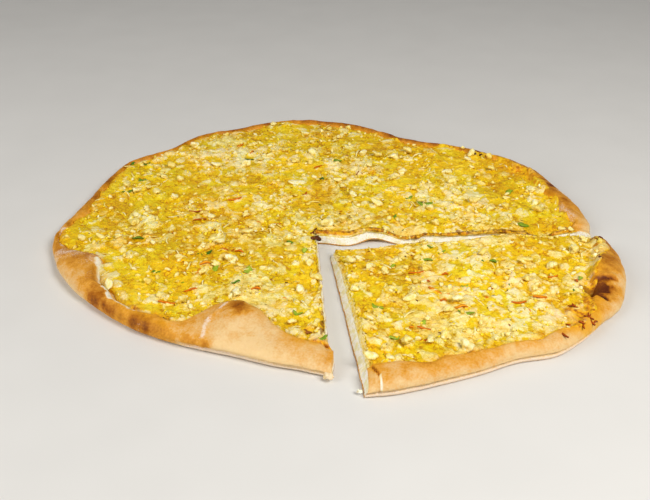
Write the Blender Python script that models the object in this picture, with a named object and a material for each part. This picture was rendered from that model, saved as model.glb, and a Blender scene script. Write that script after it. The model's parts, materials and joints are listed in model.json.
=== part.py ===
"""Open chicken pie: a flat, hand-stretched round of bread dough with a raised, uneven rim, covered up to the rim
with a baked layer of chopped chicken, cheese and egg. One quarter has been cut and eased forward.

Metres, +Z up. The origin is the middle of the footprint on the table. Sizes below are in millimetres, and places
are given from the cut point, where the two cuts meet."""

import math

import bmesh
import bpy
import numpy as np
from mathutils import Matrix, Vector

MM = 0.001

# Where the two cuts meet, from the origin, and the tip of the quarter from there
CUT_POINT = (-7.5, -18.3)
SLICE_TIP = (6.3, -18.0)

# Thickness of the dough under the filling, of the filling, of the gap between them and of the filling's outer edge
DOUGH = 4.6
FILLING = 3.5
GAP = 0.3
EDGE = 0.9

# The rim: how far out its inner side climbs, how far its foot tucks in, the height where it is widest as a share
# of the crest's, and the height and half width of the seam low on its outside
RISE = 5.0
TUCK = 4.0
WAIST = 0.38
SEAM_HEIGHT = 2.9
SEAM_BAND = 0.9

# Angle between sections, the rings of the flat part as shares of its radius, and the steps over and under the rim
STEP_DEG = 4.3
RINGS = (0.06, 0.13, 0.20, 0.29, 0.40, 0.53, 0.67, 0.83, 1.0)
OVER_DEG = (28, 54, 75, 90)
UNDER_DEG = (30, 50, 70, 90)

# Sections of the three quarters that were left whole, anticlockwise from the far cut:
# angle in degrees, outer radius, rim width and crest height
WHOLE = (
    (1.3, 169.5, 11, 8.5),
    (10, 172.0, 17, 10.0),
    (22, 174.5, 16, 11.0),
    (38, 179.5, 14, 11.0),
    (48, 175.5, 10, 9.8),
    (57, 171.0, 7, 9.2),
    (68, 168.0, 6, 9.2),
    (74, 175.0, 6, 9.2),
    (86, 189.0, 7, 9.6),
    (98, 195.0, 7, 9.3),
    (110, 188.0, 8, 9.2),
    (121, 184.5, 8, 9.2),
    (128, 176.0, 7, 8.8),
    (141, 176.0, 6, 8.5),
    (150, 168.0, 7, 8.6),
    (158, 161.8, 8, 8.8),
    (167, 159.5, 12, 8.2),
    (175, 161.5, 7, 7.6),
    (184, 160.5, 6, 7.6),
    (190, 157.5, 16, 9.5),
    (196, 154.5, 25, 11.5),
    (204, 149.5, 17, 11.5),
    (213, 144.0, 10.5, 10.5),
    (221, 140.8, 9.5, 9.8),
    (225.5, 139.0, 12, 9.6),
    (230, 137.0, 13.5, 9.6),
    (234.5, 135.5, 11, 10.0),
    (239, 134.2, 31, 11.8),
    (245, 132.5, 38, 13.0),
    (253, 132.0, 33, 12.5),
    (261, 135.0, 23, 11.0),
    (267, 137.5, 22, 10.4),
    (273.1, 143.5, 17, 9.2),
)

# The same for the quarter that was cut, about its own tip
QUARTER = (
    (-83.5, 140.0, 17.5, 10.0),
    (-78, 140.5, 18.5, 10.4),
    (-68, 140.0, 14, 10.2),
    (-58, 142.0, 12.5, 9.6),
    (-49, 146.0, 11.5, 9.6),
    (-43, 155.0, 12.5, 9.6),
    (-36, 159.0, 10.5, 9.2),
    (-28, 163.0, 11.5, 9.0),
    (-21, 169.5, 18, 10.0),
    (-14, 170.5, 21, 12.0),
    (-8, 171.0, 21.5, 12.0),
    (-3, 170.5, 17, 11.0),
    (4.6, 168.5, 11, 10.0),
)

# Swellings and dents of the upper side: x, y, spread and height
WHOLE_SWELLINGS = (
    (-40, -101, 11, 5.0),
    (-137, -40, 13, 1.6),
    (138, 3, 10, -2.4),
    (53, 3, 8, -1.6),
)
QUARTER_SWELLINGS = (
    (110, -12, 27, 3.0),
    (150, -8, 15, 1.4),
    (60, -14, 16, 1.0),
    (163, -50, 13, 2.2),
    (151, -67, 7, -3.0),
    (12, -20, 15, -2.3),
    (34, -20, 13, -2.0),
)

# Where the sheet of dough lifts off the table, where its cut edge bows forwards and where it flares sideways:
# x, y, spread along x and y, and how far
WHOLE_LIFTS = ((35, 0, 9, 17, 2.4),)
WHOLE_BOWS = (
    (18, 0, 11, 12, -4.0),
    (52, 0, 9, 10, -3.0),
    (84, 0, 18, 12, -3.0),
    (136, 0, 11, 12, -4.5),
)
QUARTER_BOWS = ((112, -9, 24, 10, 1.5),)
WHOLE_FLARES = ((4, -130, 14, 8, 1.9),)

# How the knife pressed the two cuts of each part: the share of the height by which the top is set in, how much of
# that is lost on the stiff rim, how far into the part it reaches, and how soon it ends past the tip
WHOLE_SLANTS = (0.35, 0.25)
QUARTER_SLANTS = (0.7, 0.0)
WHOLE_STIFFNESS = 0.8
QUARTER_STIFFNESS = 0.5
SLANT_REACH = 8.0
SLANT_END = 6.0

# Stretches of rim with an open seam low on the outside: the two angles, the seam's depth, and how soon it fades
WHOLE_SEAM = (238, 275, 1.3)
QUARTER_SEAM = (-90, -18, 1.4)
SEAM_FADE_DEG = 8.0

# The largest pieces of chicken: how many, the tries for each, the spacing, the clearance from rim, cuts and
# herbs, the smallest and largest half width, the length, width and height as shares of that, how deep they sit,
# and how uneven they are
WHOLE_CHUNKS = 92
QUARTER_CHUNKS = 30
CHUNK_TRIES = 60
CHUNK_SPACING = 12.0
CHUNK_CLEAR = 9.0
CHUNK_SIZE = (2.4, 4.3)
CHUNK_SHAPE = (1.25, 0.9, 0.42)
CHUNK_SINK = -0.1
ROUGHNESS = 0.16
WHOLE_SEED = 11
QUARTER_SEED = 23

# Herb leaves and carrot shreds that show from a step away: x, y, length, width and direction in degrees
LEAVES = (
    (-50.8, 118.4, 9.0, 6.0, 60),
    (-120.3, 77.7, 8.0, 4.0, -40),
    (-127.0, 58.1, 7.5, 6.0, 10),
    (68.6, 39.5, 10.0, 6.0, 0),
    (-66.7, -25.0, 9.0, 4.0, 15),
    (-59.9, -45.5, 8.5, 5.0, 40),
    (-40.4, -47.8, 7.5, 5.0, 70),
    (12.4, 111.0, 7.0, 3.5, 0),
    (126.4, 59.7, 7.0, 6.0, 30),
    (126.0, 16.0, 8.0, 5.0, -10),
    (-109.2, -7.1, 7.5, 3.0, -5),
    (61.8, -34.8, 9.0, 3.5, -15),
    (32.1, -85.9, 9.0, 4.5, -35),
    (77.9, -94.0, 9.5, 4.0, -20),
    (101.4, -37.2, 7.0, 5.0, 20),
)
SHREDS = (
    (66.1, -71.3, 13.0, 2.0, -35),
    (55.4, -49.0, 9.0, 1.6, 15),
    (108.1, -80.8, 8.0, 2.2, 0),
    (48.7, -104.7, 6.0, 2.6, 80),
    (128.0, -62.0, 9.0, 2.4, 5),
    (-64.8, -42.0, 6.0, 2.6, 15),
    (-33.9, -70.2, 5.5, 2.4, -10),
    (-60.7, 143.4, 9.0, 1.8, 35),
    (-80.7, -82.9, 10.0, 1.5, -10),
    (-1.1, 101.9, 7.0, 1.6, 40),
)

# Thickness and pointedness of a leaf and of a shred, where their sections lie along them, how far they wave, and
# how high their middle lies over the filling
LEAF = (1.0, 0.75)
SHRED = (1.2, 0.3)
STRIP_SHARES = (0.0, 0.35, 0.7, 1.0)
STRIP_WAVE = 0.25
STRIP_TURN = 5.0
STRIP_LIE = 0.0

# Torn ends of dough at the corners of the cut: x, y, height of the middle, and half width
WHOLE_TEARS = ((4.6, -141.2, 2.6, 3.0),)
QUARTER_TEARS = ((21.6, -155.0, 2.8, 2.7),)
TEAR_FLATNESS = 0.7

DOUGH_COLOUR = (0.60, 0.36, 0.15)
DOUGH_GLOSS = 0.65
FILLING_COLOUR = (0.72, 0.55, 0.17)
FILLING_GLOSS = 0.42
SHARP_DEG = 40


def smooth(stations, column, angle):
    """One column of a table of sections, as a smooth curve through its values."""
    knots = np.array([s[0] for s in stations], float)
    values = np.array([s[column] for s in stations], float)
    slopes = np.gradient(values, knots)
    i = min(max(int(np.searchsorted(knots, angle)) - 1, 0), len(knots) - 2)
    span = knots[i + 1] - knots[i]
    t = min(max((angle - knots[i]) / span, 0), 1)
    start = (1 + 2 * t) * (1 - t) ** 2 * values[i] + t * (1 - t) ** 2 * span * slopes[i]
    end = t * t * (3 - 2 * t) * values[i + 1] + t * t * (t - 1) * span * slopes[i + 1]
    return start + end


def ragged(angle):
    """How unevenly the filling was spread up to the rim."""
    a = math.radians(angle)
    return 0.9 * math.sin(17 * a + 0.6) + 0.7 * math.sin(29 * a + 2.1) + 0.5 * math.sin(43 * a)


def hills(table, x, y):
    """The sum of smooth hills over a place: middle, spread along x and y, and height of each."""
    return sum(h * np.exp(-(((x - a) / s) ** 2) - ((y - b) / d) ** 2) for a, b, s, d, h in table)


def unevenness(x, y):
    """Slow waves in the filling's level."""
    return 0.5 * np.sin(x / 17 + 0.8) * np.cos(y / 21) + 0.4 * np.sin((x + 1.6 * y) / 13)


class Sector:
    """One part of the pie, between two cuts that meet at its tip."""

    def __init__(self, sections, tip, seam, swellings, bows, slants, stiffness, lifts=(), flares=()):
        self.sections = sections
        self.tip = tip
        self.seam = seam
        self.swellings = [(x, y, spread, spread, height) for x, y, spread, height in swellings]
        self.bows = bows
        self.slants = slants
        self.stiffness = stiffness
        self.lifts = lifts
        self.flares = flares
        self.first = sections[0][0]
        self.last = sections[-1][0]

    def angles(self):
        return np.linspace(self.first, self.last, round((self.last - self.first) / STEP_DEG) + 1)

    def radius(self, angle):
        return smooth(self.sections, 1, angle)

    def width(self, angle):
        return smooth(self.sections, 2, angle) + ragged(angle)

    def crest(self, angle):
        return smooth(self.sections, 3, angle)

    def rise(self, angle):
        return min(0.5 * self.width(angle), RISE)

    def rimmed(self, angle, radius):
        """0 over the flat dough and 1 on the rim."""
        past = (radius - self.radius(angle) + self.width(angle)) / self.rise(angle)
        return min(max(past, 0), 1)

    def seam_depth(self, angle):
        """Full in the seam's stretch, and fading out over a few degrees at its ends."""
        start, end, depth = self.seam
        inside = min(angle - start, end - angle)
        return depth * min(max(inside / SEAM_FADE_DEG + 0.5, 0), 1)

    def places(self, angle, radii):
        a = math.radians(angle)
        return self.tip[0] + radii * math.cos(a), self.tip[1] + radii * math.sin(a)

    def swelling(self, x, y):
        return hills(self.swellings, x, y)

    def lift(self, x, y):
        return hills(self.lifts, x, y)

    def filling_level(self, x, y):
        return DOUGH + GAP + FILLING + unevenness(x, y) + self.swelling(x, y) + self.lift(x, y)

    def holds(self, x, y):
        """Whether a place lies between the two cuts."""
        angle = math.degrees(math.atan2(y - self.tip[1], x - self.tip[0]))
        if angle < self.first:
            angle += 360
        return self.first < angle < self.last

    def pressed(self, place):
        """A place after the knife has pressed the cuts back and the edge has bowed."""
        x, y, z = place
        for angle, side, slant in zip((self.first, self.last), (1, -1), self.slants):
            a = math.radians(angle)
            ahead = (x - self.tip[0]) * math.cos(a) + (y - self.tip[1]) * math.sin(a)
            inward = Vector((-math.sin(a), math.cos(a), 0)) * side
            depth = (x - self.tip[0]) * inward.x + (y - self.tip[1]) * inward.y
            share = min(max(1 + ahead / SLANT_END, 0), 1) * math.exp(-max(depth, 0) / SLANT_REACH)
            share = share * (1 - self.stiffness * self.rimmed(angle, ahead))
            place = place + inward * slant * z * share
        return place + Vector((hills(self.flares, x, y), hills(self.bows, x, y), 0))


def top_section(sector, angle):
    """Radii and heights of the dough's upper side, from the first ring out to the crest of the rim. The last but
    one is half way up the rim, where the filling ends."""
    width = sector.width(angle)
    crest = sector.crest(angle)
    inner = sector.radius(angle) - width
    rise = sector.rise(angle)
    radii = np.array([inner * share for share in RINGS] + [inner + 0.5 * rise, inner + rise])
    heights = np.array([DOUGH] * len(RINGS) + [(DOUGH + crest) / 2, crest])
    return radii, heights


def outer_section(sector, angle):
    """Radii and heights from past the crest, over the outside of the rim and down to the table."""
    radius = sector.radius(angle)
    width = sector.width(angle)
    crest = sector.crest(angle)
    half = width - sector.rise(angle)
    waist = WAIST * crest
    tuck = min(0.45 * width, TUCK)
    over = np.radians(OVER_DEG)
    under = np.radians(UNDER_DEG)
    radii = np.r_[radius - half * (1 - np.sin(over)), radius - tuck * (1 - np.cos(under))]
    heights = np.r_[waist + (crest - waist) * np.cos(over), waist * (1 - np.sin(under))]
    seam = sector.seam_depth(angle) * np.exp(-(((heights - SEAM_HEIGHT) / SEAM_BAND) ** 2))
    return radii - seam, heights


def dough_section(sector, angle):
    """The dough's section as points, from the top out over the rim and back along the underside."""
    top_r, top_z = top_section(sector, angle)
    out_r, out_z = outer_section(sector, angle)
    flat_r = out_r[-1] * np.array(RINGS[-2::-1])
    radii = np.r_[top_r, out_r, flat_r]
    heights = np.r_[top_z, out_z, np.zeros(len(flat_r))]
    x, y = sector.places(angle, radii)
    # A swelling is the upper side's own, and a lift carries the whole sheet with it.
    share = np.clip(heights / DOUGH, 0, 1)
    heights = heights + share * sector.swelling(x, y) + sector.lift(x, y)
    return np.c_[x, y, heights]


def filling_section(sector, angle):
    """The filling's section, from the top at the first ring out to its edge and back underneath."""
    top_r, top_z = top_section(sector, angle)
    radii, dough = top_r[:-1], top_z[:-1]
    x, y = sector.places(angle, radii)
    below = dough + GAP + sector.swelling(x, y) + sector.lift(x, y)
    above = np.maximum(sector.filling_level(x, y), below + EDGE)
    above[-1] = below[-1] + EDGE
    return np.r_[np.c_[x, y, above], np.c_[x, y, below][::-1]]


def lofted(name, sector, section, turn, low, high):
    """A closed solid through the sector's sections, with both cuts and the edge at the tip. From the point where a
    section turns back, the quads are split the other way, so that filling and dough meet along like triangles."""
    mesh = bmesh.new()
    tip_top = mesh.verts.new((*sector.tip, high))
    tip_low = mesh.verts.new((*sector.tip, low))
    sections = [[mesh.verts.new(p) for p in section(sector, angle)] for angle in sector.angles()]
    for near, far in zip(sections, sections[1:]):
        mesh.faces.new((tip_top, near[0], far[0]))
        mesh.faces.new((tip_low, far[-1], near[-1]))
        for k in range(len(near) - 1):
            a, b, c, d = near[k], near[k + 1], far[k + 1], far[k]
            if k >= turn:
                a, b, c, d = b, c, d, a
            mesh.faces.new((a, b, c))
            mesh.faces.new((a, c, d))
    mesh.faces.new([tip_top, tip_low, *reversed(sections[0])])
    mesh.faces.new([tip_low, tip_top, *sections[-1]])
    mesh.normal_update()
    bmesh.ops.triangulate(mesh, faces=[f for f in mesh.faces if len(f.verts) > 3])
    for v in mesh.verts:
        v.co = sector.pressed(v.co.copy())
    bmesh.ops.recalc_face_normals(mesh, faces=mesh.faces)
    return in_scene(name, mesh)


def in_scene(name, mesh):
    """Turns a bmesh in millimetres from the cut point into an object in metres."""
    bmesh.ops.translate(mesh, verts=mesh.verts, vec=(*CUT_POINT, 0))
    bmesh.ops.scale(mesh, verts=mesh.verts, vec=(MM, MM, MM))
    data = bpy.data.meshes.new(name)
    mesh.to_mesh(data)
    mesh.free()
    obj = bpy.data.objects.new(name, data)
    bpy.context.scene.collection.objects.link(obj)
    return obj


def placed(name, mesh, x, y, z, turn):
    """Turns a loose piece about the vertical, moves it to its place and puts it in the scene."""
    bmesh.ops.rotate(mesh, verts=mesh.verts, matrix=Matrix.Rotation(math.radians(turn), 3, "Z"))
    bmesh.ops.translate(mesh, verts=mesh.verts, vec=(x, y, z))
    return in_scene(name, mesh)


def lump(half, shape, draw):
    """A ball with uneven corners, stretched along each axis by a share of its half width."""
    mesh = bmesh.new()
    bmesh.ops.create_icosphere(mesh, subdivisions=1, radius=half)
    for v in mesh.verts:
        v.co *= 1 + draw.uniform(-ROUGHNESS, ROUGHNESS)
    bmesh.ops.scale(mesh, verts=mesh.verts, vec=shape)
    return mesh


def chunk(sector, x, y, half, turn, draw):
    """One piece of chicken, half sunk in the filling."""
    height = sector.filling_level(x, y) - CHUNK_SINK * half
    return placed("chunk", lump(half, CHUNK_SHAPE, draw), x, y, height, turn)


def tear(x, y, height, half, draw):
    """A torn end of dough at a corner of the cut."""
    return placed("tear", lump(half, (1, 1, TEAR_FLATNESS), draw), x, y, height, 0)


def strip(sector, x, y, length, width, turn, thickness, pointedness):
    """A thin wavy leaf or shred that lies on the filling: two like faces and a rim between them."""
    mesh = bmesh.new()
    half_thick = thickness / 2
    rows = []
    for share in STRIP_SHARES:
        along = (share - 0.5) * length
        half = 0.5 * width * (1 - pointedness * (2 * share - 1) ** 2)
        wave = STRIP_WAVE * math.sin(STRIP_TURN * share)
        corners = ((-half, half_thick), (half, half_thick), (half, -half_thick), (-half, -half_thick))
        rows.append([mesh.verts.new((along, across, wave + z)) for across, z in corners])
    for near, far in zip(rows, rows[1:]):
        for k in range(4):
            mesh.faces.new((near[k], near[(k + 1) % 4], far[(k + 1) % 4], far[k]))
    mesh.faces.new(rows[0])
    mesh.faces.new(rows[-1])
    mesh.normal_update()
    bmesh.ops.triangulate(mesh, faces=mesh.faces)
    bmesh.ops.recalc_face_normals(mesh, faces=mesh.faces)
    return placed("strip", mesh, x, y, sector.filling_level(x, y) + STRIP_LIE, turn)


def chunk_places(sector, count, lying, seed):
    """Where the pieces of chicken lie: spread evenly, clear of the rim, the cuts, each other and the herbs."""
    draw = np.random.default_rng(seed)
    reach = max(s[1] for s in sector.sections)
    places = []
    for _ in range(CHUNK_TRIES * count):
        angle = draw.uniform(sector.first, sector.last)
        radius = reach * math.sqrt(draw.uniform())
        to_cut = radius * math.sin(math.radians(min(angle - sector.first, sector.last - angle, 90)))
        to_rim = sector.radius(angle) - sector.width(angle) - radius
        x, y = sector.places(angle, radius)
        apart = all(math.hypot(x - p[0], y - p[1]) > CHUNK_SPACING for p in places)
        clear = all(math.hypot(x - p[0], y - p[1]) > CHUNK_CLEAR for p in lying)
        if min(to_cut, to_rim) > CHUNK_CLEAR and apart and clear and len(places) < count:
            places.append((x, y, draw.uniform(*CHUNK_SIZE), draw.uniform(0, 180)))
    return places


def fuse(body, pieces):
    """Joins loose pieces to a body with one Boolean union, and removes them."""
    group = bpy.data.collections.new(body.name + "_pieces")
    bpy.context.scene.collection.children.link(group)
    for piece in pieces:
        bpy.context.scene.collection.objects.unlink(piece)
        group.objects.link(piece)
    union = body.modifiers.new("union", "BOOLEAN")
    union.operation = "UNION"
    union.operand_type = "COLLECTION"
    union.collection = group
    union.solver = "EXACT"
    bpy.context.view_layer.update()
    joined = bpy.data.meshes.new_from_object(body.evaluated_get(bpy.context.evaluated_depsgraph_get()))
    body.modifiers.clear()
    body.data = joined
    for piece in list(group.objects):
        bpy.data.objects.remove(piece)
    bpy.data.collections.remove(group)


def crust(name, sector, tears, seed):
    """The dough of one part, with the torn ends at its cut."""
    turn = len(RINGS) + len(OVER_DEG) + len(UNDER_DEG)
    body = lofted(name, sector, dough_section, turn, 0.0, DOUGH + sector.swelling(*sector.tip))
    draw = np.random.default_rng(seed)
    fuse(body, [tear(*place, draw) for place in tears])
    return body


def filling(name, sector, count, seed):
    """The filling of one part with its chunks, leaves and shreds fused on."""
    low = DOUGH + GAP + sector.swelling(*sector.tip)
    body = lofted(name, sector, filling_section, len(RINGS), low, low + FILLING)
    leaves = [leaf for leaf in LEAVES if sector.holds(*leaf[:2])]
    shreds = [shred for shred in SHREDS if sector.holds(*shred[:2])]
    places = chunk_places(sector, count, leaves + shreds, seed)
    draw = np.random.default_rng(seed + 1)
    pieces = [chunk(sector, *place, draw) for place in places]
    pieces += [strip(sector, *leaf, *LEAF) for leaf in leaves]
    pieces += [strip(sector, *shred, *SHRED) for shred in shreds]
    fuse(body, pieces)
    return body


def material(name, colour, roughness):
    made = bpy.data.materials.new(name)
    made.use_nodes = True
    shader = made.node_tree.nodes["Principled BSDF"]
    shader.inputs["Base Color"].default_value = (*colour, 1)
    shader.inputs["Roughness"].default_value = roughness
    shader.inputs["Metallic"].default_value = 0.0
    return made


def main():
    for obj in list(bpy.data.objects):
        bpy.data.objects.remove(obj)
    whole = Sector(
        WHOLE, (0.0, 0.0), WHOLE_SEAM, WHOLE_SWELLINGS, WHOLE_BOWS, WHOLE_SLANTS, WHOLE_STIFFNESS,
        lifts=WHOLE_LIFTS, flares=WHOLE_FLARES,
    )
    quarter = Sector(
        QUARTER, SLICE_TIP, QUARTER_SEAM, QUARTER_SWELLINGS, QUARTER_BOWS, QUARTER_SLANTS, QUARTER_STIFFNESS,
    )
    dough = material("baked_dough", DOUGH_COLOUR, DOUGH_GLOSS)
    topping = material("chicken_filling", FILLING_COLOUR, FILLING_GLOSS)
    parts = (
        (crust("crust_whole", whole, WHOLE_TEARS, WHOLE_SEED), dough),
        (filling("filling_whole", whole, WHOLE_CHUNKS, WHOLE_SEED), topping),
        (crust("crust_slice", quarter, QUARTER_TEARS, QUARTER_SEED), dough),
        (filling("filling_slice", quarter, QUARTER_CHUNKS, QUARTER_SEED), topping),
    )
    for obj, finish in parts:
        obj.data.materials.clear()
        obj.data.materials.append(finish)
        obj.data.shade_smooth()
        obj.data.set_sharp_from_angle(angle=math.radians(SHARP_DEG))


main()
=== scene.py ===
"""The looks of an open chicken pie: baked dough, a layer of chicken, cheese and egg, and what lies on it.

Sizes are in millimetres from the cut point, where the two cuts meet, unless a name says otherwise."""

import json
import math
from dataclasses import dataclass
from functools import partial
from typing import Callable

import bmesh
import bpy
import numpy as np
from bpy.props import FloatProperty, FloatVectorProperty, IntProperty, PointerProperty
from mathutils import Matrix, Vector
from mathutils.bvhtree import BVHTree

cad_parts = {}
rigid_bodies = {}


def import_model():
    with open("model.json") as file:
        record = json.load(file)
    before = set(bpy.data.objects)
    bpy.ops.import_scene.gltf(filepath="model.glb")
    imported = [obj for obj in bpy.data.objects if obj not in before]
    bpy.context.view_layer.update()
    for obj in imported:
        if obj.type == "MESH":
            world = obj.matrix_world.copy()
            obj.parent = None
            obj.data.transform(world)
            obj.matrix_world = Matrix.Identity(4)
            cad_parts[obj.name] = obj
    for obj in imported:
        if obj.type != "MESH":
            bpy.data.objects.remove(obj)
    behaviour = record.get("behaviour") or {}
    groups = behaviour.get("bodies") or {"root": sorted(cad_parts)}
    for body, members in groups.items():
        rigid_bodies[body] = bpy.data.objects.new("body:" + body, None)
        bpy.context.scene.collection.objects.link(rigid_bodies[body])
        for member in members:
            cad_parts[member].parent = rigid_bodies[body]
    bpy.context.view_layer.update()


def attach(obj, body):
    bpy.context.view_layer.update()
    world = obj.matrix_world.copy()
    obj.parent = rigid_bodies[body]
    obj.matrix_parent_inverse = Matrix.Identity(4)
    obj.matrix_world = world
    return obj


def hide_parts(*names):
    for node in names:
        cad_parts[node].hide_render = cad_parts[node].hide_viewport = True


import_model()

bl_info = {
    "name": "Open chicken pie",
    "version": (1, 0, 0),
    "blender": (4, 5, 0),
    "location": "3D View > Sidebar > Pie",
    "description": "Bakes the crust of an open chicken pie, spreads its filling and scatters what lies on it",
    "category": "Object",
}

MM = 0.001
CUT_POINT = (-7.5, -18.3)
SLICE_TIP = (6.3, -18.0)
CRUSTS = ("baked_crust_whole", "baked_crust_slice")
BEDS = ("spread_filling_whole", "spread_filling_slice")

# The dough and its rim, as in the solids
DOUGH = 4.6
FILLING = 3.5
GAP = 0.3
RISE = 5.0
TUCK = 4.0
WAIST = 0.38
SEAM_HEIGHT = 2.9
SEAM_BAND = 0.9
SEAM_FADE_DEG = 8.0

# Sections of the three quarters that were left whole, anticlockwise from the far cut:
# angle in degrees, outer radius, rim width and crest height
WHOLE = (
    (1.3, 169.5, 11, 8.5),
    (10, 172.0, 17, 10.0),
    (22, 174.5, 16, 11.0),
    (38, 179.5, 14, 11.0),
    (48, 175.5, 10, 9.8),
    (57, 171.0, 7, 9.2),
    (68, 168.0, 6, 9.2),
    (74, 175.0, 6, 9.2),
    (86, 189.0, 7, 9.6),
    (98, 195.0, 7, 9.3),
    (110, 188.0, 8, 9.2),
    (121, 184.5, 8, 9.2),
    (128, 176.0, 7, 8.8),
    (141, 176.0, 6, 8.5),
    (150, 168.0, 7, 8.6),
    (158, 161.8, 8, 8.8),
    (167, 159.5, 12, 8.2),
    (175, 161.5, 7, 7.6),
    (184, 160.5, 6, 7.6),
    (190, 157.5, 16, 9.5),
    (196, 154.5, 25, 11.5),
    (204, 149.5, 17, 11.5),
    (213, 144.0, 10.5, 10.5),
    (221, 140.8, 9.5, 9.8),
    (225.5, 139.0, 12, 9.6),
    (230, 137.0, 13.5, 9.6),
    (234.5, 135.5, 11, 10.0),
    (236.3, 134.8, 14, 10.3),
    (239, 134.2, 31, 11.8),
    (245, 132.5, 38, 13.0),
    (253, 132.0, 33, 12.5),
    (261, 135.0, 23, 11.0),
    (267, 137.5, 22, 10.4),
    (273.1, 143.5, 17, 9.2),
)

# The same for the quarter that was cut, about its own tip
QUARTER = (
    (-83.5, 140.0, 17.5, 10.0),
    (-78, 140.5, 18.5, 10.4),
    (-68, 140.0, 14, 10.2),
    (-58, 142.0, 12.5, 9.6),
    (-49, 146.0, 11.5, 9.6),
    (-43, 155.0, 12.5, 9.6),
    (-36, 159.0, 10.5, 9.2),
    (-28, 163.0, 11.5, 9.0),
    (-21, 169.5, 18, 10.0),
    (-14, 170.5, 21, 12.0),
    (-8, 171.0, 21.5, 12.0),
    (-3, 170.5, 17, 11.0),
    (4.6, 168.5, 11, 10.0),
)

# How the rim was baked, by angle: browning from 0 to 1, and how floury it was left
WHOLE_BAKE = (
    (1.3, 0.45, 0.25),
    (12, 0.60, 0.15),
    (30, 0.72, 0.05),
    (50, 0.78, 0.0),
    (95, 0.76, 0.0),
    (130, 0.66, 0.05),
    (150, 0.66, 0.05),
    (163, 0.62, 0.15),
    (176, 0.56, 0.30),
    (190, 0.60, 0.42),
    (203, 0.62, 0.36),
    (213, 0.58, 0.06),
    (220, 0.52, 0.0),
    (230, 0.52, 0.0),
    (238, 0.50, 0.04),
    (248, 0.34, 0.06),
    (262, 0.36, 0.06),
    (273.1, 0.44, 0.06),
)
QUARTER_BAKE = (
    (-83.5, 0.48, 0.08),
    (-60, 0.50, 0.08),
    (-44, 0.40, 0.15),
    (-34, 0.40, 0.08),
    (-24, 0.52, 0.0),
    (-10, 0.66, 0.0),
    (4.6, 0.70, 0.0),
)

# Swellings and dents of the upper side: x, y, spread and height
WHOLE_SWELLINGS = (
    (-40, -101, 11, 3.0),
    (-137, -40, 13, 1.6),
    (138, 3, 10, -2.4),
    (53, 3, 8, -1.6),
)
QUARTER_SWELLINGS = (
    (110, -12, 27, 3.0),
    (150, -8, 15, 1.4),
    (60, -14, 16, 1.0),
    (163, -50, 13, 2.2),
    (151, -67, 7, -3.0),
    (12, -20, 15, -2.3),
    (34, -20, 13, -2.0),
)

# Where the sheet of dough lifts off the table, where its cut edge bows forwards and where it flares sideways:
# x, y, spreads and how far
WHOLE_LIFTS = ((35, 0, 9, 17, 2.4),)
WHOLE_BOWS = (
    (18, 0, 11, 12, -4.0),
    (52, 0, 9, 10, -3.0),
    (84, 0, 18, 12, -3.0),
    (136, 0, 11, 12, -4.5),
)
QUARTER_BOWS = ((112, -9, 24, 10, 1.5),)
WHOLE_FLARES = ((4, -130, 14, 8, 1.9),)

# Where the melted filling ran further up the rim or stopped short of it: angle, half width in degrees and
# how far
WHOLE_SPILLS = (
    (212, 14, -2.7),
    (26, 8, 6.0),
    (41, 9, 3.0),
    (52, 6, 2.0),
)
QUARTER_SPILLS = (
    (-82, 2.5, 1.5),
    (-34.5, 4.5, 5.0),
    (-27, 4, 2.5),
    (-19.5, 2.5, -2.0),
    (-13.5, 4, 3.5),
    (0, 8, 9.0),
)

# Where the topping hangs over the far cut, or draws back from it: x, y, spread and how far
HANGING = (
    (14, 0, 8, -0.6),
    (36, 0, 10, 2.4),
    (56, 0, 10, 2.2),
    (77, 0, 12, 2.2),
    (98, 0, 12, 2.0),
    (120, 1, 14, 2.8),
    (151, 1, 8, 1.8),
)

# How much more chicken than egg lies at some places, or less: x, y, spread and share, on top of the usual
RICHER = (
    (62, -72, 62, 0.17),
    (-27, 28, 36, 0.08),
    (-19, -76, 22, 0.62),
    (55, -102, 22, 0.55),
    (84, -58, 24, -0.30),
    (-85, -45, 40, 0.08),
    (-105, 60, 42, -0.42),
    (0, 112, 40, -0.10),
    (157, -42, 8, 0.55),
    (165, -22, 8, 0.45),
)
USUAL = -0.17
WHOLE_SLANTS = (0.35, 0.25)
QUARTER_SLANTS = (0.7, 0.0)
SLANT_REACH = 8.0
SLANT_END = 6.0

# How much of each slant is lost on the stiff rim, and how far the knife pressed the rim's ends down
WHOLE_STIFFNESS = 0.8
QUARTER_STIFFNESS = 0.5
PRESSED_END = 0.2
PRESSED_REACH = 4.0
WHOLE_SEAM = (238, 275, 1.3, 0.0)
QUARTER_SEAM = (-95, -30, 1.4, 0.6)

# Browned and burnt spots of the rim, some of them painted shade: x, y, spread and how much darker
TOASTED = (
    (-42.5, -94, 5, 0.36),
    (-42.3, -101, 5, 0.26),
    (-37, -99, 5, 0.16),
    # The next two spots darken the foot of the rim at the front left: painted shade
    (-98, -105, 8.5, 0.12),
    (-83, -114.5, 8.5, 0.12),
    (-154, 13, 4, 0.20),
    (-157, 0, 4, 0.20),
    (-146, 43, 5, 0.14),
    (-142, 74, 6, 0.14),
    (112, 123, 3.5, 0.42),
    (118, 121, 2.5, 0.35),
    (128, 107, 4, 0.20),
    (152, 76, 3.0, 0.25),
    (156, 66, 3.0, 0.25),
    (-6, 0, 2.6, 0.55),
    (-1.5, -5.5, 2.6, 0.60),
    # The next six spots darken the slice's rim where it folds over: burnt crust and painted shade in the fold
    (152, -69, 3.2, 0.50),
    (156, -68, 3.4, 0.45),
    (148.5, -68, 2.2, 0.45),
    (155.5, -73, 2.8, 0.50),
    (160, -62, 3.0, 0.12),
    (155, -70, 6.5, 0.24),
    (160.5, -42.3, 1.6, 0.60),
    (168, -11, 3.2, 0.42),
    (170, -16, 2.5, 0.25),
)
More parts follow.
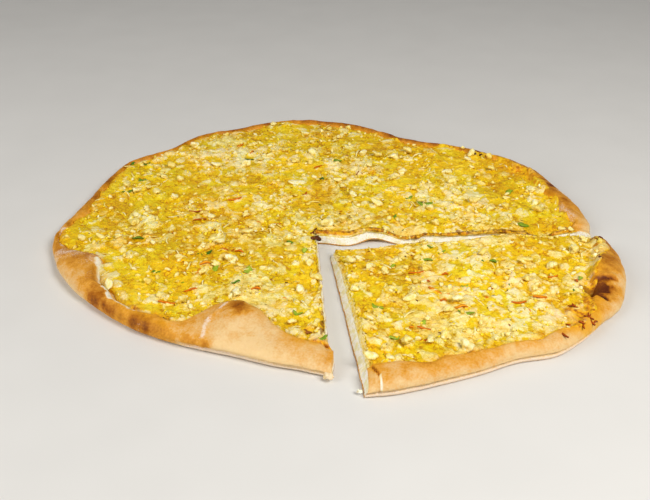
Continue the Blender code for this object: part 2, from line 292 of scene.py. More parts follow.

# Stretches of the rim whose outer edge carries painted shade: the line, half its width and how much darker
PAINTED_SHADE_EDGES = (
    (((-126, -74), (-118.5, -83), (-109.5, -92), (-99.5, -99.5), (-89, -106)), 3.8, 0.36),
    (((-89, -106), (-78.5, -112), (-68, -117.5), (-57, -121.5)), 3.4, 0.32),
)

# Where the oven caught the filling and the dough beside it, and turned them orange: x, y, spread and how much
GRILLED = (
    (137, -92, 9, 1.0),
    (134, -106, 7, 0.75),
    (147, -80, 7, 0.8),
    (128, -88, 5, 0.35),
    (142, -110, 7, 0.8),
    (147, -96, 7, 0.7),
    (30, -112, 8, 0.25),
    (-4, -110, 4, 0.9),
    (-13, -119, 5, 0.7),
    (-5, -121, 5, 0.8),
    (2, -124, 5, 0.8),
    (7, -130, 4, 0.6),
    (26, -143, 5, 0.6),
    (-104, -78, 7, 0.15),
    (104, 121, 6, 0.5),
    (118, 112, 8, 0.75),
    (128, 101, 8, 0.6),
    (138, 92, 8, 0.8),
    (147, 80, 7, 0.8),
    (154, 66, 7, 0.7),
    (156, -54, 6, 0.6),
    (152, -64, 5, 1.0),
    (166, -36, 5, 0.5),
    (168, -10, 5, 0.7),
    (148, -82, 5, 0.8),
    (-105, -92, 7, 0.5),
    (-93, -102, 7, 0.6),
    (-80, -112, 7, 0.5),
    (-128, 42, 9, 0.22),
    (-98, -89, 5, 0.6),
    (-88, -96, 6, 0.7),
    (-79, -102, 5, 0.6),
)

# The edge of the filling along the left, which melted to a cream-coloured line
CREAM_LINE = ((-126, -40), (-122, -56), (-116, -70), (-111, -80), (-102, -87), (-95, -91.5), (-90, -93))

# Folds of the dough that kept their flour: the line that each follows, its half width, how far it stands out
# and how much flour is left
FOLDS = (
    (((-48, -92), (-51, -98)), 1.2, 0.5, 0.75),
    (((-51, -98), (-55.8, -104.5)), 0.8, 1.0, 0.15),
    (((-55.8, -104.5), (-57.6, -110.2), (-58.0, -116)), 1.7, 0.6, 0.65),
    (((-58.5, -116), (-57, -128)), 0.8, 0.4, 0.2),
    (((-142, 20), (-151, 13), (-158, 7), (-157, -6), (-152, -18)), 1.2, 0.35, 0.75),
    (((-152, -25), (-148, -29), (-142, -28)), 3.2, 0.2, 0.55),
    (CREAM_LINE, 1.4, 0.5, 0.3),
    (((-92, -101), (-95, -104)), 2.2, 0.1, 0.3),
    (((-138, 90), (-134, 97)), 2.0, 0.1, 0.6),
    (((147, 43), (154, 36), (160, 20)), 5.0, 0.0, 0.45),
    (((159, 58), (162, 52)), 1.6, 0.1, 0.8),
    (((150, -61), (158, -59), (165, -60)), 1.8, 0.9, 0.15),
)

# Cracks and grooves of the crust: the line of each, its half width, how deep it is and how much darker it is
# painted, as burnt crust and as painted shade in the groove
CRACKS = (
    (((23.5, -142.5), (25.5, -146), (28.2, -150)), 0.5, 1.0, 0.5),
    (((28.2, -150), (28.8, -153), (29.4, -157)), 0.45, 1.2, 0.1),
    (((146, -68.5), (150.5, -74.5), (155.3, -80.6)), 0.8, 1.5, 0.9),
    (((151.5, -63), (157, -61.5), (165, -62.5)), 0.8, 0.8, 0.35),
)

# Where the raw dough shows white: the line that it follows and half its width
BARE = (
    (CREAM_LINE, 1.5),
    (((28.6, -150.5), (29.2, -153), (29.8, -157)), 0.34),
)

# Ends of dough that the knife tore at a corner of the cut: x, y, height, size and browning
TORN_ENDS = (
    ("torn_end_whole", 5.4, -142.4, 2.9, 6.2, 0.16),
    ("torn_end_slice", 20.2, -153.4, 2.0, 3.4, 0.0),
)

# Places where the filling was scorched, some also painted shade: x, y, spread and how much
SCORCHED = (
    (-77, -104, 2.2, 0.7),
    (165, -8.5, 2.6, 0.8),
    # The next three spots darken the filling beside that fold: scorching and painted shade
    (145.5, -63.5, 2.4, 0.8),
    (149, -65.5, 3.0, 1.0),
    (151, -69, 3.0, 1.0),
    (131, -88, 2.0, 0.5),
    (-1.5, -112, 1.8, 0.7),
)

# Noise of several sizes on top of each other: how strong each is, how wide its hills are, and its seed
MOTTLED = ((0.12, 13, 41), (0.12, 6, 42), (0.08, 2.5, 43))
RAGGED_SPOTS = ((0.36, 3.5, 44), (0.22, 1.6, 45))
PUFFED = ((0.38, 12, 61), (0.22, 5.5, 62), (0.10, 2.4, 63))
TONGUES = ((1.3, 7.0, 31), (0.5, 2.6, 32))
CRUMBLED = ((0.45, 19, 1), (0.3, 10, 2))
ROUGH = ((0.2, 1.9, 7), (0.5, 9.0, 8))
CHICKEN_RICH = ((0.5, 6, 11), (0.35, 17, 13), (0.8, 33, 15))
LIGHT = ((0.3, 2.4, 12), (0.2, 9, 14), (0.45, 27, 16))

# The lumps of the filling are this much shorter across the pie than from front to back
ACROSS = 0.8

# Spacing of the fine meshes: along the rim, over the flat dough and over the filling
RIM_STEP = 0.95
FLAT_STEP = 1.6
BED_STEP = 0.85
CRUST_ROWS = 8
BED_ROWS = 8
NOISE_SIDE = 256

# How far the filling reaches up the inner slope of the rim, as a share, how thick it is at least, how deep
# its underside lies in the dough, and how deep its very edge does
UP_THE_RIM = 0.62
THINNEST = 0.8
BED_DEPTH = 0.9
EDGE_DEPTH = 0.25

# Rings of the rim inside its crest, outside it and below, and of the filling's underside: how far in from its
# edge, and how many further in
INSIDE_RINGS = 8
OUTSIDE_RINGS = 18
BELOW_RINGS = 10
UNDER_EDGE = (0.5, 1.2, 2.0, 3.0, 4.2, 5.6, 7.2, 9.0)
UNDER_RINGS = 15

# Kinds of place on the dough
FLAT, INSIDE, OUTSIDE, BELOW, BASE, CUT = range(6)


def smooth(stations, column, angles):
    """One column of a table of sections, as a smooth curve through its values."""
    knots = np.array([s[0] for s in stations], float)
    values = np.array([s[column] for s in stations], float)
    slopes = np.gradient(values, knots)
    i = np.clip(np.searchsorted(knots, angles) - 1, 0, len(knots) - 2)
    span = knots[i + 1] - knots[i]
    t = np.clip((angles - knots[i]) / span, 0, 1)
    start = (1 + 2 * t) * (1 - t) ** 2 * values[i] + t * (1 - t) ** 2 * span * slopes[i]
    end = t * t * (3 - 2 * t) * values[i + 1] + t * t * (t - 1) * span * slopes[i + 1]
    return start + end


def even_steps(count):
    """Even steps from just above 0 up to 1."""
    return np.linspace(0, 1, count + 1)[1:]


def ease(t):
    """0 to 1 with level ends."""
    t = np.clip(t, 0, 1)
    return t * t * (3 - 2 * t)


def ragged(angles):
    """How unevenly the filling was spread up to the rim."""
    a = np.radians(angles)
    return 0.9 * np.sin(17 * a + 0.6) + 0.7 * np.sin(29 * a + 2.1) + 0.5 * np.sin(43 * a)


def hills(table, x, y):
    """The sum of smooth hills over places. A row is a hill's middle, its spread, or one along x and one along
    y, and its height."""
    total = np.zeros(np.shape(x))
    for middle_x, middle_y, *spreads, height in table:
        away = ((x - middle_x) / spreads[0]) ** 2 + ((y - middle_y) / spreads[-1]) ** 2
        total = total + height * np.exp(-away)
    return total


def unevenness(x, y):
    """Slow waves in the filling's level."""
    return 0.5 * np.sin(x / 17 + 0.8) * np.cos(y / 21) + 0.4 * np.sin((x + 1.6 * y) / 13)


def waves(x, y, size, seed):
    """Smooth noise from -1 to 1 over a plane, in hills about as wide as size."""
    table = np.random.default_rng(seed).uniform(-1, 1, (NOISE_SIDE, NOISE_SIDE))
    turn = seed * 0.7
    u = (x * math.cos(turn) - y * math.sin(turn)) / size
    v = (x * math.sin(turn) + y * math.cos(turn)) / size
    i = np.floor(u).astype(int)
    j = np.floor(v).astype(int)
    s = ease(u - i)
    t = ease(v - j)
    i, j = i % NOISE_SIDE, j % NOISE_SIDE
    k, m = (i + 1) % NOISE_SIDE, (j + 1) % NOISE_SIDE
    near = table[i, j] * (1 - s) + table[k, j] * s
    far = table[i, m] * (1 - s) + table[k, m] * s
    return near * (1 - t) + far * t


def layered(noises, x, y):
    """Noise of several sizes on top of each other."""
    return sum(strength * waves(x, y, size, seed) for strength, size, seed in noises)


def lumps(x, y, spacing, girth, seed, stretch=1.25):
    """Oval lumps over a plane, one to each square of the spacing: how high each place is on its lump, from 0
    to 1, and the lump's own tone."""
    draw = np.random.default_rng(seed)
    side = NOISE_SIDE
    jitter = draw.uniform(0.05, 0.95, (side, side, 2))
    tones = draw.uniform(0, 1, (side, side))
    turns = draw.uniform(0, np.pi, (side, side))
    girths = girth * draw.uniform(0.6, 1.35, (side, side))
    u, v = x / spacing, y / spacing
    i, j = np.floor(u).astype(int), np.floor(v).astype(int)
    nearest = np.full(np.shape(x), 9.0)
    tone = np.zeros(np.shape(x))
    for di in (-1, 0, 1):
        for dj in (-1, 0, 1):
            a, b = (i + di) % side, (j + dj) % side
            du = (u - (i + di) - jitter[a, b, 0]) * spacing / girths[a, b]
            dv = (v - (j + dj) - jitter[a, b, 1]) * spacing / girths[a, b]
            c, s = np.cos(turns[a, b]), np.sin(turns[a, b])
            away = np.hypot((du * c + dv * s) / stretch, (dv * c - du * s) * stretch)
            closer = away < nearest
            nearest = np.where(closer, away, nearest)
            tone = np.where(closer, tones[a, b], tone)
    return np.clip(1 - nearest**2, 0, 1), tone


def trail(line, x, y):
    """The distance of places from a line of points."""
    best = np.full(np.shape(x), 1e9)
    for (ax, ay), (bx, by) in zip(line, line[1:]):
        dx, dy = bx - ax, by - ay
        t = np.clip(((x - ax) * dx + (y - ay) * dy) / (dx * dx + dy * dy), 0, 1)
        best = np.minimum(best, np.hypot(x - ax - t * dx, y - ay - t * dy))
    return best


def beside(line, half, x, y):
    """1 on a line of points, and fading out within about twice the half width."""
    return np.exp(-((trail(line, x, y) / half) ** 2))


@dataclass
class Sector:
    """One part of the pie, between two cuts that meet at its tip."""

    sections: tuple
    tip: tuple
    seam: tuple
    swellings: tuple
    bows: tuple
    slants: tuple
    stiffness: float
    bake: tuple
    spills: tuple
    lifts: tuple = ()
    flares: tuple = ()
    hanging: tuple = ()
    toasted_edge: float = 0.0

    def __post_init__(self):
        self.first = self.sections[0][0]
        self.last = self.sections[-1][0]

    def all_along(self, count=33):
        """Even angles from the first cut to the last."""
        return np.linspace(self.first, self.last, count)

    def radius(self, angles):
        return smooth(self.sections, 1, angles)

    def width(self, angles):
        return smooth(self.sections, 2, angles) + ragged(angles)

    def crest(self, angles):
        return smooth(self.sections, 3, angles)

    def rise(self, angles):
        return np.minimum(0.5 * self.width(angles), RISE)

    def inner(self, angles):
        return self.radius(angles) - self.width(angles)

    def seam_depth(self, angles):
        """Full in the seam's stretch, and fading out over a few degrees at its ends."""
        start, end, depth, _ = self.seam
        inside = np.minimum(angles - start, end - angles)
        return depth * np.clip(inside / SEAM_FADE_DEG + 0.5, 0, 1)

    def tuck(self, angles):
        """How far the rim's foot lies in from its outside, and less where the seam's lip stands out."""
        lip = self.seam[3] * self.seam_depth(angles) / self.seam[2]
        return np.minimum(0.45 * self.width(angles), TUCK) * (1 - lip)

    def places(self, angles, radii):
        a = np.radians(angles)
        return self.tip[0] + radii * np.cos(a), self.tip[1] + radii * np.sin(a)

    def from_tip(self, x, y):
        return np.hypot(x - self.tip[0], y - self.tip[1])

    def dough_top(self, angles, radii):
        """The height of the dough's upper side: flat, then up to the crest of the rim and down outside."""
        past, rise, crest = radii - self.inner(angles), self.rise(angles), self.crest(angles)
        out = np.clip((past - rise) / (self.width(angles) - rise), 0, 1)
        waist = WAIST * crest
        outside = waist + (crest - waist) * np.sqrt(1 - out * out)
        return np.where(out > 0, outside, DOUGH + (crest - DOUGH) * ease(past / rise))

    def swelling(self, x, y):
        return hills(self.swellings, x, y)

    def lift(self, x, y):
        return hills(self.lifts, x, y)

    def to_cuts(self, x, y):
        """How deep places lie behind the first cut and behind the second."""
        depths = []
        for angle, side in ((self.first, 1), (self.last, -1)):
            a = math.radians(angle)
            along = (x - self.tip[0]) * math.cos(a) + (y - self.tip[1]) * math.sin(a)
            depth = ((y - self.tip[1]) * math.cos(a) - (x - self.tip[0]) * math.sin(a)) * side
            depths.append(np.where(along < 0, np.hypot(depth, along), depth))
        return depths

    def torn(self, x, y, z):
        """How far the knife left each place of a cut set in: small pores, and shallow waves along the cut."""
        pores = 0.13 * (1 + waves(x + z, y, 1.1, 65)) + 0.10 * (1 + waves(x, y + 2 * z, 2.6, 66))
        return pores + 0.25 * (1 + waves(x + 0.4 * z, y, 7.0, 67))

    def rimmed(self, angles, radii):
        """0 over the flat dough and 1 on the rim."""
        return ease((radii - self.inner(angles)) / self.rise(angles))

    def pressed_end(self, angles, radii, x, y):
        """The share of its height that the rim keeps beside a cut."""
        to_cut = np.maximum(np.minimum(*self.to_cuts(x, y)), 0)
        return 1 - PRESSED_END * self.rimmed(angles, radii) * np.exp(-((to_cut / PRESSED_REACH) ** 2))

    def pressed(self, points, tear):
        """Places after the knife has pressed the cuts back, torn them and bowed the edge. The tear is how far
        each place is set in from a cut that it lies on."""
        x, y, z = points.T
        moved = points.copy()
        for angle, side, slant in zip((self.first, self.last), (1, -1), self.slants):
            a = math.radians(angle)
            ahead = (x - self.tip[0]) * math.cos(a) + (y - self.tip[1]) * math.sin(a)
            inward = np.array((-math.sin(a), math.cos(a))) * side
            depth = (x - self.tip[0]) * inward[0] + (y - self.tip[1]) * inward[1]
            reach = np.clip(1 + ahead / SLANT_END, 0, 1)
            slant = slant * (1 - self.stiffness * self.rimmed(angle, ahead))
            shift = slant * z * reach * np.exp(-np.maximum(depth, 0) / SLANT_REACH)
            shift = shift + tear * reach * np.exp(-((np.maximum(depth, 0) / 2.0) ** 2))
            moved[:, :2] += shift[:, None] * inward
        moved[:, 0] += hills(self.flares, x, y)
        moved[:, 1] += hills(self.bows, x, y)
        return moved


def ring_angles(sector, radius_at, step, fewest=3):
    """The angles of one ring: as many as its length needs."""
    length = math.radians(sector.last - sector.first) * float(np.mean(radius_at(sector.all_along())))
    return sector.all_along(max(fewest, round(length / step) + 1))


def strip(faces, near, far, near_at, far_at):
    """Triangles between two rows of points that lie side by side, with however many points each has."""
    i = j = 0
    last_i, last_j = len(near) - 1, len(far) - 1
    while i < last_i or j < last_j:
        if j == last_j or (i < last_i and near_at[i + 1] <= far_at[j + 1]):
            face = (near[i], far[j], near[i + 1])
            i += 1
        else:
            face = (near[i], far[j], far[j + 1])
            j += 1
        if len(set(face)) == 3:
            faces.append(face)


def shell(upper, lower, tip, rows):
    """A closed sheet between two cuts. Upper holds the rings from the tip out to the brim, lower those from
    there back, and tip the two ends of the edge at the tip. A ring is its angles and its places, one row of
    facts each: x, y, z, angle, kind and share. Each cut gets rows of its own between the two sheets."""
    facts = []

    def added(rows_of_facts):
        start = len(facts)
        facts.extend(map(tuple, rows_of_facts))
        return list(range(start, len(facts)))

    faces = []
    tip_high, tip_low = np.array(tip[0], float), np.array(tip[1], float)
    edge = [tip_high + (tip_low - tip_high) * k / rows for k in range(rows + 1)]
    for k in range(1, rows):
        edge[k][4:] = (CUT, k / rows)
    column = added(edge)
    up = [added(ring) for _, ring in upper]
    down = [added(ring) for _, ring in lower]
    middle = [(upper[0][0][0] + upper[0][0][-1]) / 2]
    rings = [[column[0]], *up, *down, [column[-1]]]
    at = [middle, *[a for a, _ in upper], *[a for a, _ in lower], middle]
    for k in range(len(rings) - 1):
        strip(faces, rings[k], rings[k + 1], at[k], at[k + 1])
    for end, turn in ((0, 1), (-1, -1)):
        high = [column[0], *[ring[end] for ring in up]]
        low = [column[-1], *[ring[end] for ring in reversed(down)], up[-1][end]]
        high_facts = np.array([facts[i] for i in high])
        low_facts = np.array([facts[i] for i in low])
        out = high_facts[-1, :2] - high_facts[0, :2]
        out = out / np.linalg.norm(out)
        high_at = np.maximum.accumulate((high_facts[:, :2] - high_facts[0, :2]) @ out)
        low_at = np.maximum.accumulate((low_facts[:, :2] - high_facts[0, :2]) @ out)
        below = np.array([np.interp(high_at, low_at, low_facts[:, c]) for c in range(3)]).T
        cut_faces = []
        previous = high
        for k in range(1, rows):
            share = k / rows
            row = high_facts[1:-1].copy()
            row[:, :3] += (below[1:-1] - row[:, :3]) * share
            row[:, 4:] = (CUT, share)
            current = [column[k], *added(row), high[-1]]
            strip(cut_faces, previous, current, high_at, high_at)
            previous = current
        strip(cut_faces, previous, low, high_at, low_at)
        faces.extend(face[::turn] for face in cut_faces)
    return np.array(facts), faces


def ring(sector, angles, radii, heights, kind, share):
    """One ring as rows of facts."""
    x, y = sector.places(angles, radii)
    count = len(angles)
    columns = (x, y, heights * np.ones(count), angles, np.full(count, kind), share * np.ones(count))
    return angles, np.stack(columns, axis=1)


def dough_rings(sector):
    """The rings of the dough from the tip over the rim and back underneath."""
    reach = float(np.mean(sector.radius(sector.all_along())))
    flat_shares = even_steps(round(reach / FLAT_STEP) - 1)
    upper, lower = [], []
    coarse = 3 * FLAT_STEP
    for share in flat_shares:
        a = ring_angles(sector, lambda v: share * sector.inner(v), coarse)
        upper.append(ring(sector, a, share * sector.inner(a), DOUGH, FLAT, share))
    a = ring_angles(sector, sector.radius, RIM_STEP)
    radius, width, crest = sector.radius(a), sector.width(a), sector.crest(a)
    rise, inner, tuck = sector.rise(a), sector.inner(a), sector.tuck(a)
    half = width - rise
    waist = WAIST * crest
    for share in even_steps(INSIDE_RINGS):
        radii = inner + rise * share
        upper.append(ring(sector, a, radii, sector.dough_top(a, radii), INSIDE, share))
    for share in even_steps(OUTSIDE_RINGS):
        turn = share * math.pi / 2
        radii = radius - half * (1 - math.sin(turn))
        upper.append(ring(sector, a, radii, waist + (crest - waist) * math.cos(turn), OUTSIDE, share))
    for share in even_steps(BELOW_RINGS):
        turn = share * math.pi / 2
        heights = waist * (1 - math.sin(turn))
        seam = sector.seam_depth(a) * np.exp(-(((heights - SEAM_HEIGHT) / SEAM_BAND) ** 2))
        lower.append(ring(sector, a, radius - tuck * (1 - math.cos(turn)) - seam, heights, BELOW, share))

    def foot(v):
        return sector.radius(v) - sector.tuck(v)

    for share in flat_shares[-2::-1]:
        a = ring_angles(sector, lambda v: share * foot(v), coarse)
        lower.append(ring(sector, a, share * foot(a), 0.0, BASE, share))
    return upper, lower


def spread(sector, angles):
    """How far out the filling reaches: part of the way up the rim, in ragged tongues."""
    x, y = sector.places(angles, sector.inner(angles))
    spills = sum(far * np.exp(-(((angles - middle) / half) ** 2)) for middle, half, far in sector.spills)
    return sector.inner(angles) + sector.rise(angles) * UP_THE_RIM + layered(TONGUES, x, y) + spills


def streaks(x, y):
    """Thin lines in a few directions, as shredded cheese leaves when it melts, from -1 to 1."""
    total = np.zeros(np.shape(x))
    for k, turn in enumerate((0.25, 1.25, 2.35)):
        along = x * math.cos(turn) + y * math.sin(turn)
        across = y * math.cos(turn) - x * math.sin(turn)
        here = np.clip(1.6 * waves(x, y, 8.0, 90 + k), 0, 1)
        total = total + here * waves(along / 4, across, 1.5, 80 + k)
    return np.clip(total, -1, 1)


def evened(values):
    """The values spread evenly from 0 to 1, in the same order."""
    order = np.empty(len(values))
    order[np.argsort(values)] = np.linspace(0, 1, len(values))
    return order


def relief(x, y):
    """The lumpy surface of the filling: its height, how light each place is, how much of it is chicken rather
    than egg and melted cheese, and how crumbly it is."""
    y = ACROSS * y
    crumbly = np.clip(0.8 + layered(CRUMBLED, x, y), 0.25, 1.0)
    a = x + 1.1 * waves(x, y, 3.2, 9)
    b = y + 1.1 * waves(x, y, 3.2, 10)
    big, big_tone = lumps(a, b, 9.5, 3.7, 3)
    mid, mid_tone = lumps(b, a, 5.2, 2.4, 4, 1.45)
    small, small_tone = lumps(a, b, 2.8, 1.6, 5)
    lines = streaks(x, y)
    over = ease(big / 0.3) * (big_tone > 0.35)
    between = ease(mid / 0.35) * (mid_tone > 0.4) * (1 - over)
    dots = ease(small / 0.4) * (1 - 0.6 * over)
    height = 1.05 * big**0.6 * (big_tone > 0.35) + 0.75 * mid**0.7 * (mid_tone > 0.35) * (1 - 0.6 * over)
    height = (1.4 * height + 0.75 * small * small_tone + 0.3 * lines) * crumbly
    height = height + layered(ROUGH, x, y) - 1.1
    chicken = 1.1 * over * (0.4 + big_tone) + 0.9 * between * (0.2 + mid_tone)
    chicken = chicken + 0.5 * dots * (small_tone - 0.5) + 0.3 * lines + 0.6 * (crumbly - 0.8)
    light = 0.4 * over * (big_tone - 0.6) + 0.5 * between * (mid_tone - 0.6)
    # The height's share makes high places lighter and hollows darker: painted shade
    light = light + 0.6 * dots * (small_tone - 0.5) + 0.35 * lines + 0.2 * height
    light = evened(light + layered(LIGHT, x, y))
    return height, light, evened(chicken + layered(CHICKEN_RICH, x, y)), crumbly


def bed_height(sector, angles, radii, x, y):
    """The height of the filling's upper side before its lumps."""
    ground = sector.dough_top(angles, radii)
    level = DOUGH + GAP + FILLING + unevenness(x, y)
    to_edge = np.maximum(spread(sector, angles) - radii, 0)
    on_rim = radii > sector.inner(angles) + sector.rise(angles)
    full = np.where(on_rim, ground, np.maximum(level - THINNEST, ground)) + THINNEST
    swell = sector.swelling(x, y) + sector.lift(x, y)
    return ground - EDGE_DEPTH + (full - ground + EDGE_DEPTH) * (1 - np.exp(-to_edge)) + swell


def bed_rings(sector):
    """The rings of the filling from the tip out to its ragged edge and back underneath."""
    reach = float(np.mean(spread(sector, sector.all_along())))
    shares = even_steps(round(reach / BED_STEP) - 1)
    upper, lower = [], []
    for share in shares:
        a = ring_angles(sector, lambda v: share * spread(sector, v), BED_STEP)
        radii = share * spread(sector, a)
        x, y = sector.places(a, radii)
        upper.append(ring(sector, a, radii, bed_height(sector, a, radii, x, y), FLAT, share))
    insets = [(1, back) for back in UNDER_EDGE]
    for share, back in insets + [(share, 0) for share in even_steps(UNDER_RINGS)[-3::-1]]:
        a = ring_angles(sector, lambda v: share * spread(sector, v), BED_STEP * (2 if back else 8))
        radii = share * spread(sector, a) - back
        x, y = sector.places(a, radii)
        under = sector.dough_top(a, radii) - BED_DEPTH + sector.swelling(x, y) + sector.lift(x, y)
        lower.append(ring(sector, a, radii, under, BASE, share))
    return upper, lower


def metres(points):
    """Places in millimetres from the cut point, in the scene's metres."""
    return (points + np.array((*CUT_POINT, 0.0))) * MM


def in_scene(name, points, faces):
    """A mesh object from places in millimetres from the cut point."""
    data = bpy.data.meshes.new(name)
    data.from_pydata(metres(points).tolist(), [], faces)
    data.shade_smooth()
    obj = bpy.data.objects.new(name, data)
    bpy.context.scene.collection.objects.link(obj)
    return obj


def set_places(obj, points):
    obj.data.vertices.foreach_set("co", metres(points).astype(np.float32).ravel())
    obj.data.update()


def normals_of(obj):
    found = np.zeros(len(obj.data.vertices) * 3, np.float32)
    obj.data.vertex_normals.foreach_get("vector", found)
    return found.reshape(-1, 3).astype(float)


def store(obj, name, values):
    """Keeps one value for each point of a mesh, for its material to read."""
    attribute = obj.data.attributes.new(name, "FLOAT", "POINT")
    attribute.data.foreach_set("value", np.asarray(values, np.float32))


def kept_on(piece):
    """Every piece rides on the pie's one body."""
    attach(piece, "root")


def dressed(piece, finish, node):
    """A piece that stands for a node of the solids."""
    piece.data.materials.append(finish)
    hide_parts(node)
    kept_on(piece)


def wrapped(sector, facts):
    """Where the knife drew the crust of the rim over its cut face: at the last cut of each part."""
    x, y, _, angle, _, share = facts.T
    drawn = ease((0.72 + 0.2 * waves(x, y, 3.0, 48) - share) / 0.12)
    return drawn * sector.rimmed(angle, sector.from_tip(x, y) - 1.5) * (angle > sector.last - 1)


def bare_dough(facts):
    """Where the raw dough shows white along the edge of the filling and in a crack."""
    x, y, _, _, kind, _ = facts.T
    ragged_width = 1 + 0.6 * waves(x, y, 2.5, 49)
    lines = [np.exp(-((trail(line, x, y) / (half * ragged_width)) ** 4)) for line, half in BARE]
    return np.maximum.reduce(lines) * ((kind == INSIDE) | (kind == OUTSIDE))


def browning(sector, facts):
    """How far each place of the dough was browned, from raw at 0 to burnt at 1, and its painted shade."""
    x, y, _, angle, kind, share = facts.T
    profile = np.select(
        [kind == FLAT, kind == INSIDE, kind == OUTSIDE, kind == BELOW, kind == BASE],
        [0.15, 0.15 + 0.85 * ease(share * 1.15), 1.0 - 0.45 * share**2, 0.5 - 0.2 * share, 0.75],
        0.0,
    )
    mottle = layered(MOTTLED, x, y)
    toast = smooth(sector.bake, 1, angle) * profile * (1 + 1.3 * mottle)
    rim = (kind == INSIDE) | (kind == OUTSIDE) | (kind == BELOW)
    ragged_spot = 1.1 + layered(RAGGED_SPOTS, x, y)
    for a, b, spot, amount in TOASTED:
        toast = toast + amount * np.exp(-((np.hypot(x - a, y - b) / (spot * ragged_spot)) ** 3)) * rim
    # The brown foot of the rim and of each cut face: bottom crust, and painted shadow at the table
    foot = np.where(kind == BELOW, ease((share - 0.72) / 0.28), 0)
    toast = np.maximum(toast, 0.62 * foot)
    under_filling = sector.toasted_edge * np.exp(-((share / 0.12) ** 2)) * (angle < sector.first + 1)
    crust_edge = ease((share - 0.74) / 0.18) * 0.82 + 0.42 * wrapped(sector, facts) + under_filling
    crust_edge = np.where(kind == CUT, crust_edge, 0)
    # Cracks are darkened as burnt crust and as painted shade in their grooves
    browned_and_shaded = sum(amount * beside(line, 1.4 * half, x, y) for line, half, _, amount in CRACKS)
    # Painted shade along the outer edge of the front-left rim
    edges = [amount * beside(line, half, x, y) for line, half, amount in PAINTED_SHADE_EDGES]
    browned_and_shaded = browned_and_shaded + np.maximum.reduce(edges) * (1 + 2 * mottle)
    return np.clip(np.maximum(toast, crust_edge) + browned_and_shaded * rim, 0, 1) * (1 - bare_dough(facts))


def grilling(x, y):
    """How orange the oven turned each place of the filling and of the dough beside it."""
    return hills(GRILLED, x, y) * (0.75 + 0.5 * waves(x, y, 4.0, 46))


def greasing(sector, facts):
    """How much of the filling's fat soaked into the dough: most beside the filling, and less up the rim."""
    x, y, _, angle, kind, _ = facts.T
    past = np.maximum(sector.from_tip(x, y) - spread(sector, angle), 0)
    reach = 2.2 + 1.6 * waves(x, y, 9, 47)
    soaked = np.exp(-past / np.maximum(reach, 0.6))
    soaked = np.where((kind == INSIDE) | (kind == OUTSIDE), soaked, 0)
    return np.where(kind >= BASE, 0, np.clip(soaked + grilling(x, y) * (kind > FLAT), 0, 1))


def flouring(sector, facts):
    """How much dry flour lies on each place of the dough."""
    x, y, _, angle, kind, share = facts.T
    flour = smooth(sector.bake, 2, angle) * np.clip(0.6 + 0.6 * waves(x, y, 7, 51), 0, 1)
    flour = np.where(kind == INSIDE, flour * share, flour)
    uneven = 1 + 0.45 * waves(x, y, 3.0, 52)
    for line, half, _, amount in FOLDS:
        flour = np.maximum(flour, amount * beside(line, half * uneven, x, y))
    lip = sector.seam_depth(angle) / 1.4
    below = lip * np.where(kind == BELOW, np.exp(-(((share - 0.5) / 0.28) ** 2)), 0)
    return np.where(kind == CUT, 0, np.clip(np.maximum(flour, 0.9 * below), 0, 1))


def bake_crust(sector, name, node, finish):
    """The dough of one part: its sheet, its puffed and folded rim and the torn crumb at its cuts."""
    low = sector.swelling(*sector.tip)
    tip = ((*sector.tip, DOUGH + low, sector.first, FLAT, 0), (*sector.tip, 0, sector.first, BASE, 0))
    facts, faces = shell(*dough_rings(sector), tip, CRUST_ROWS)
    x, y, z, angle, kind, share = facts.T
    points = facts[:, :3].copy()
    points[:, 2] *= sector.pressed_end(angle, sector.from_tip(x, y), x, y)
    points[:, 2] += np.clip(z / DOUGH, 0, 1) * sector.swelling(x, y) + sector.lift(x, y)
    obj = in_scene(name, points, faces)
    rim = np.select([kind == INSIDE, kind == OUTSIDE, kind == BELOW], [ease(share), 1, 1 - ease(share)], 0.0)
    puffs = layered(PUFFED, x, y)
    puffs = puffs + sum(height * beside(line, half, x, y) for line, half, height, _ in FOLDS)
    puffs = puffs - sum(depth * beside(line, half, x, y) for line, half, depth, _ in CRACKS)
    points += normals_of(obj) * (rim * puffs)[:, None]
    points[:, 2] = np.where(kind == BASE, points[:, 2] + 0.12 * (1 + waves(x, y, 9, 64)), points[:, 2])
    set_places(obj, sector.pressed(points, sector.torn(x, y, z)))
    at_cut = np.minimum(*sector.to_cuts(x, y)) < 0.3
    open_crumb = np.where((kind == CUT) | ((kind == FLAT) & at_cut), 1 - wrapped(sector, facts), 0.0)
    # The toast holds the browning and the painted shade that browning adds
    store(obj, "toast", browning(sector, facts))
    store(obj, "flour", flouring(sector, facts))
    store(obj, "grease", greasing(sector, facts))
    store(obj, "crumb", np.maximum(open_crumb, bare_dough(facts)))
    dressed(obj, finish, node)


def torn_end(name, x, y, height, size, toast, finish):
    """A frayed end of dough that the knife pulled out at a corner of the cut."""
    mesh = ball(np.random.default_rng(len(name)), 4, 0.45, 0.12)
    data = bpy.data.meshes.new(name)
    mesh.to_mesh(data)
    mesh.free()
    places = np.array([v.co for v in data.vertices]) * size * (1.0, 0.9, 0.8) + (x, y, height)
    faces = [p.vertices[:] for p in data.polygons]
    bpy.data.meshes.remove(data)
    obj = in_scene(name, places, faces)
    store(obj, "toast", np.full(len(places), toast))
    store(obj, "crumb", np.full(len(places), 1.0 if toast == 0 else 0.3))
    for unused in ("flour", "grease"):
        store(obj, unused, np.zeros(len(places)))
    obj.data.materials.append(finish)
    kept_on(obj)


def at_cuts(sector, x, y):
    """How deep places lie behind the nearest cut, how close to it they are, from 0 to 1, and how far the
    topping hangs over it there."""
    to_cut = np.maximum(np.minimum(*sector.to_cuts(x, y)), 0)
    return to_cut, np.exp(-((to_cut / 2.5) ** 2)), hills(sector.hanging, x, y)


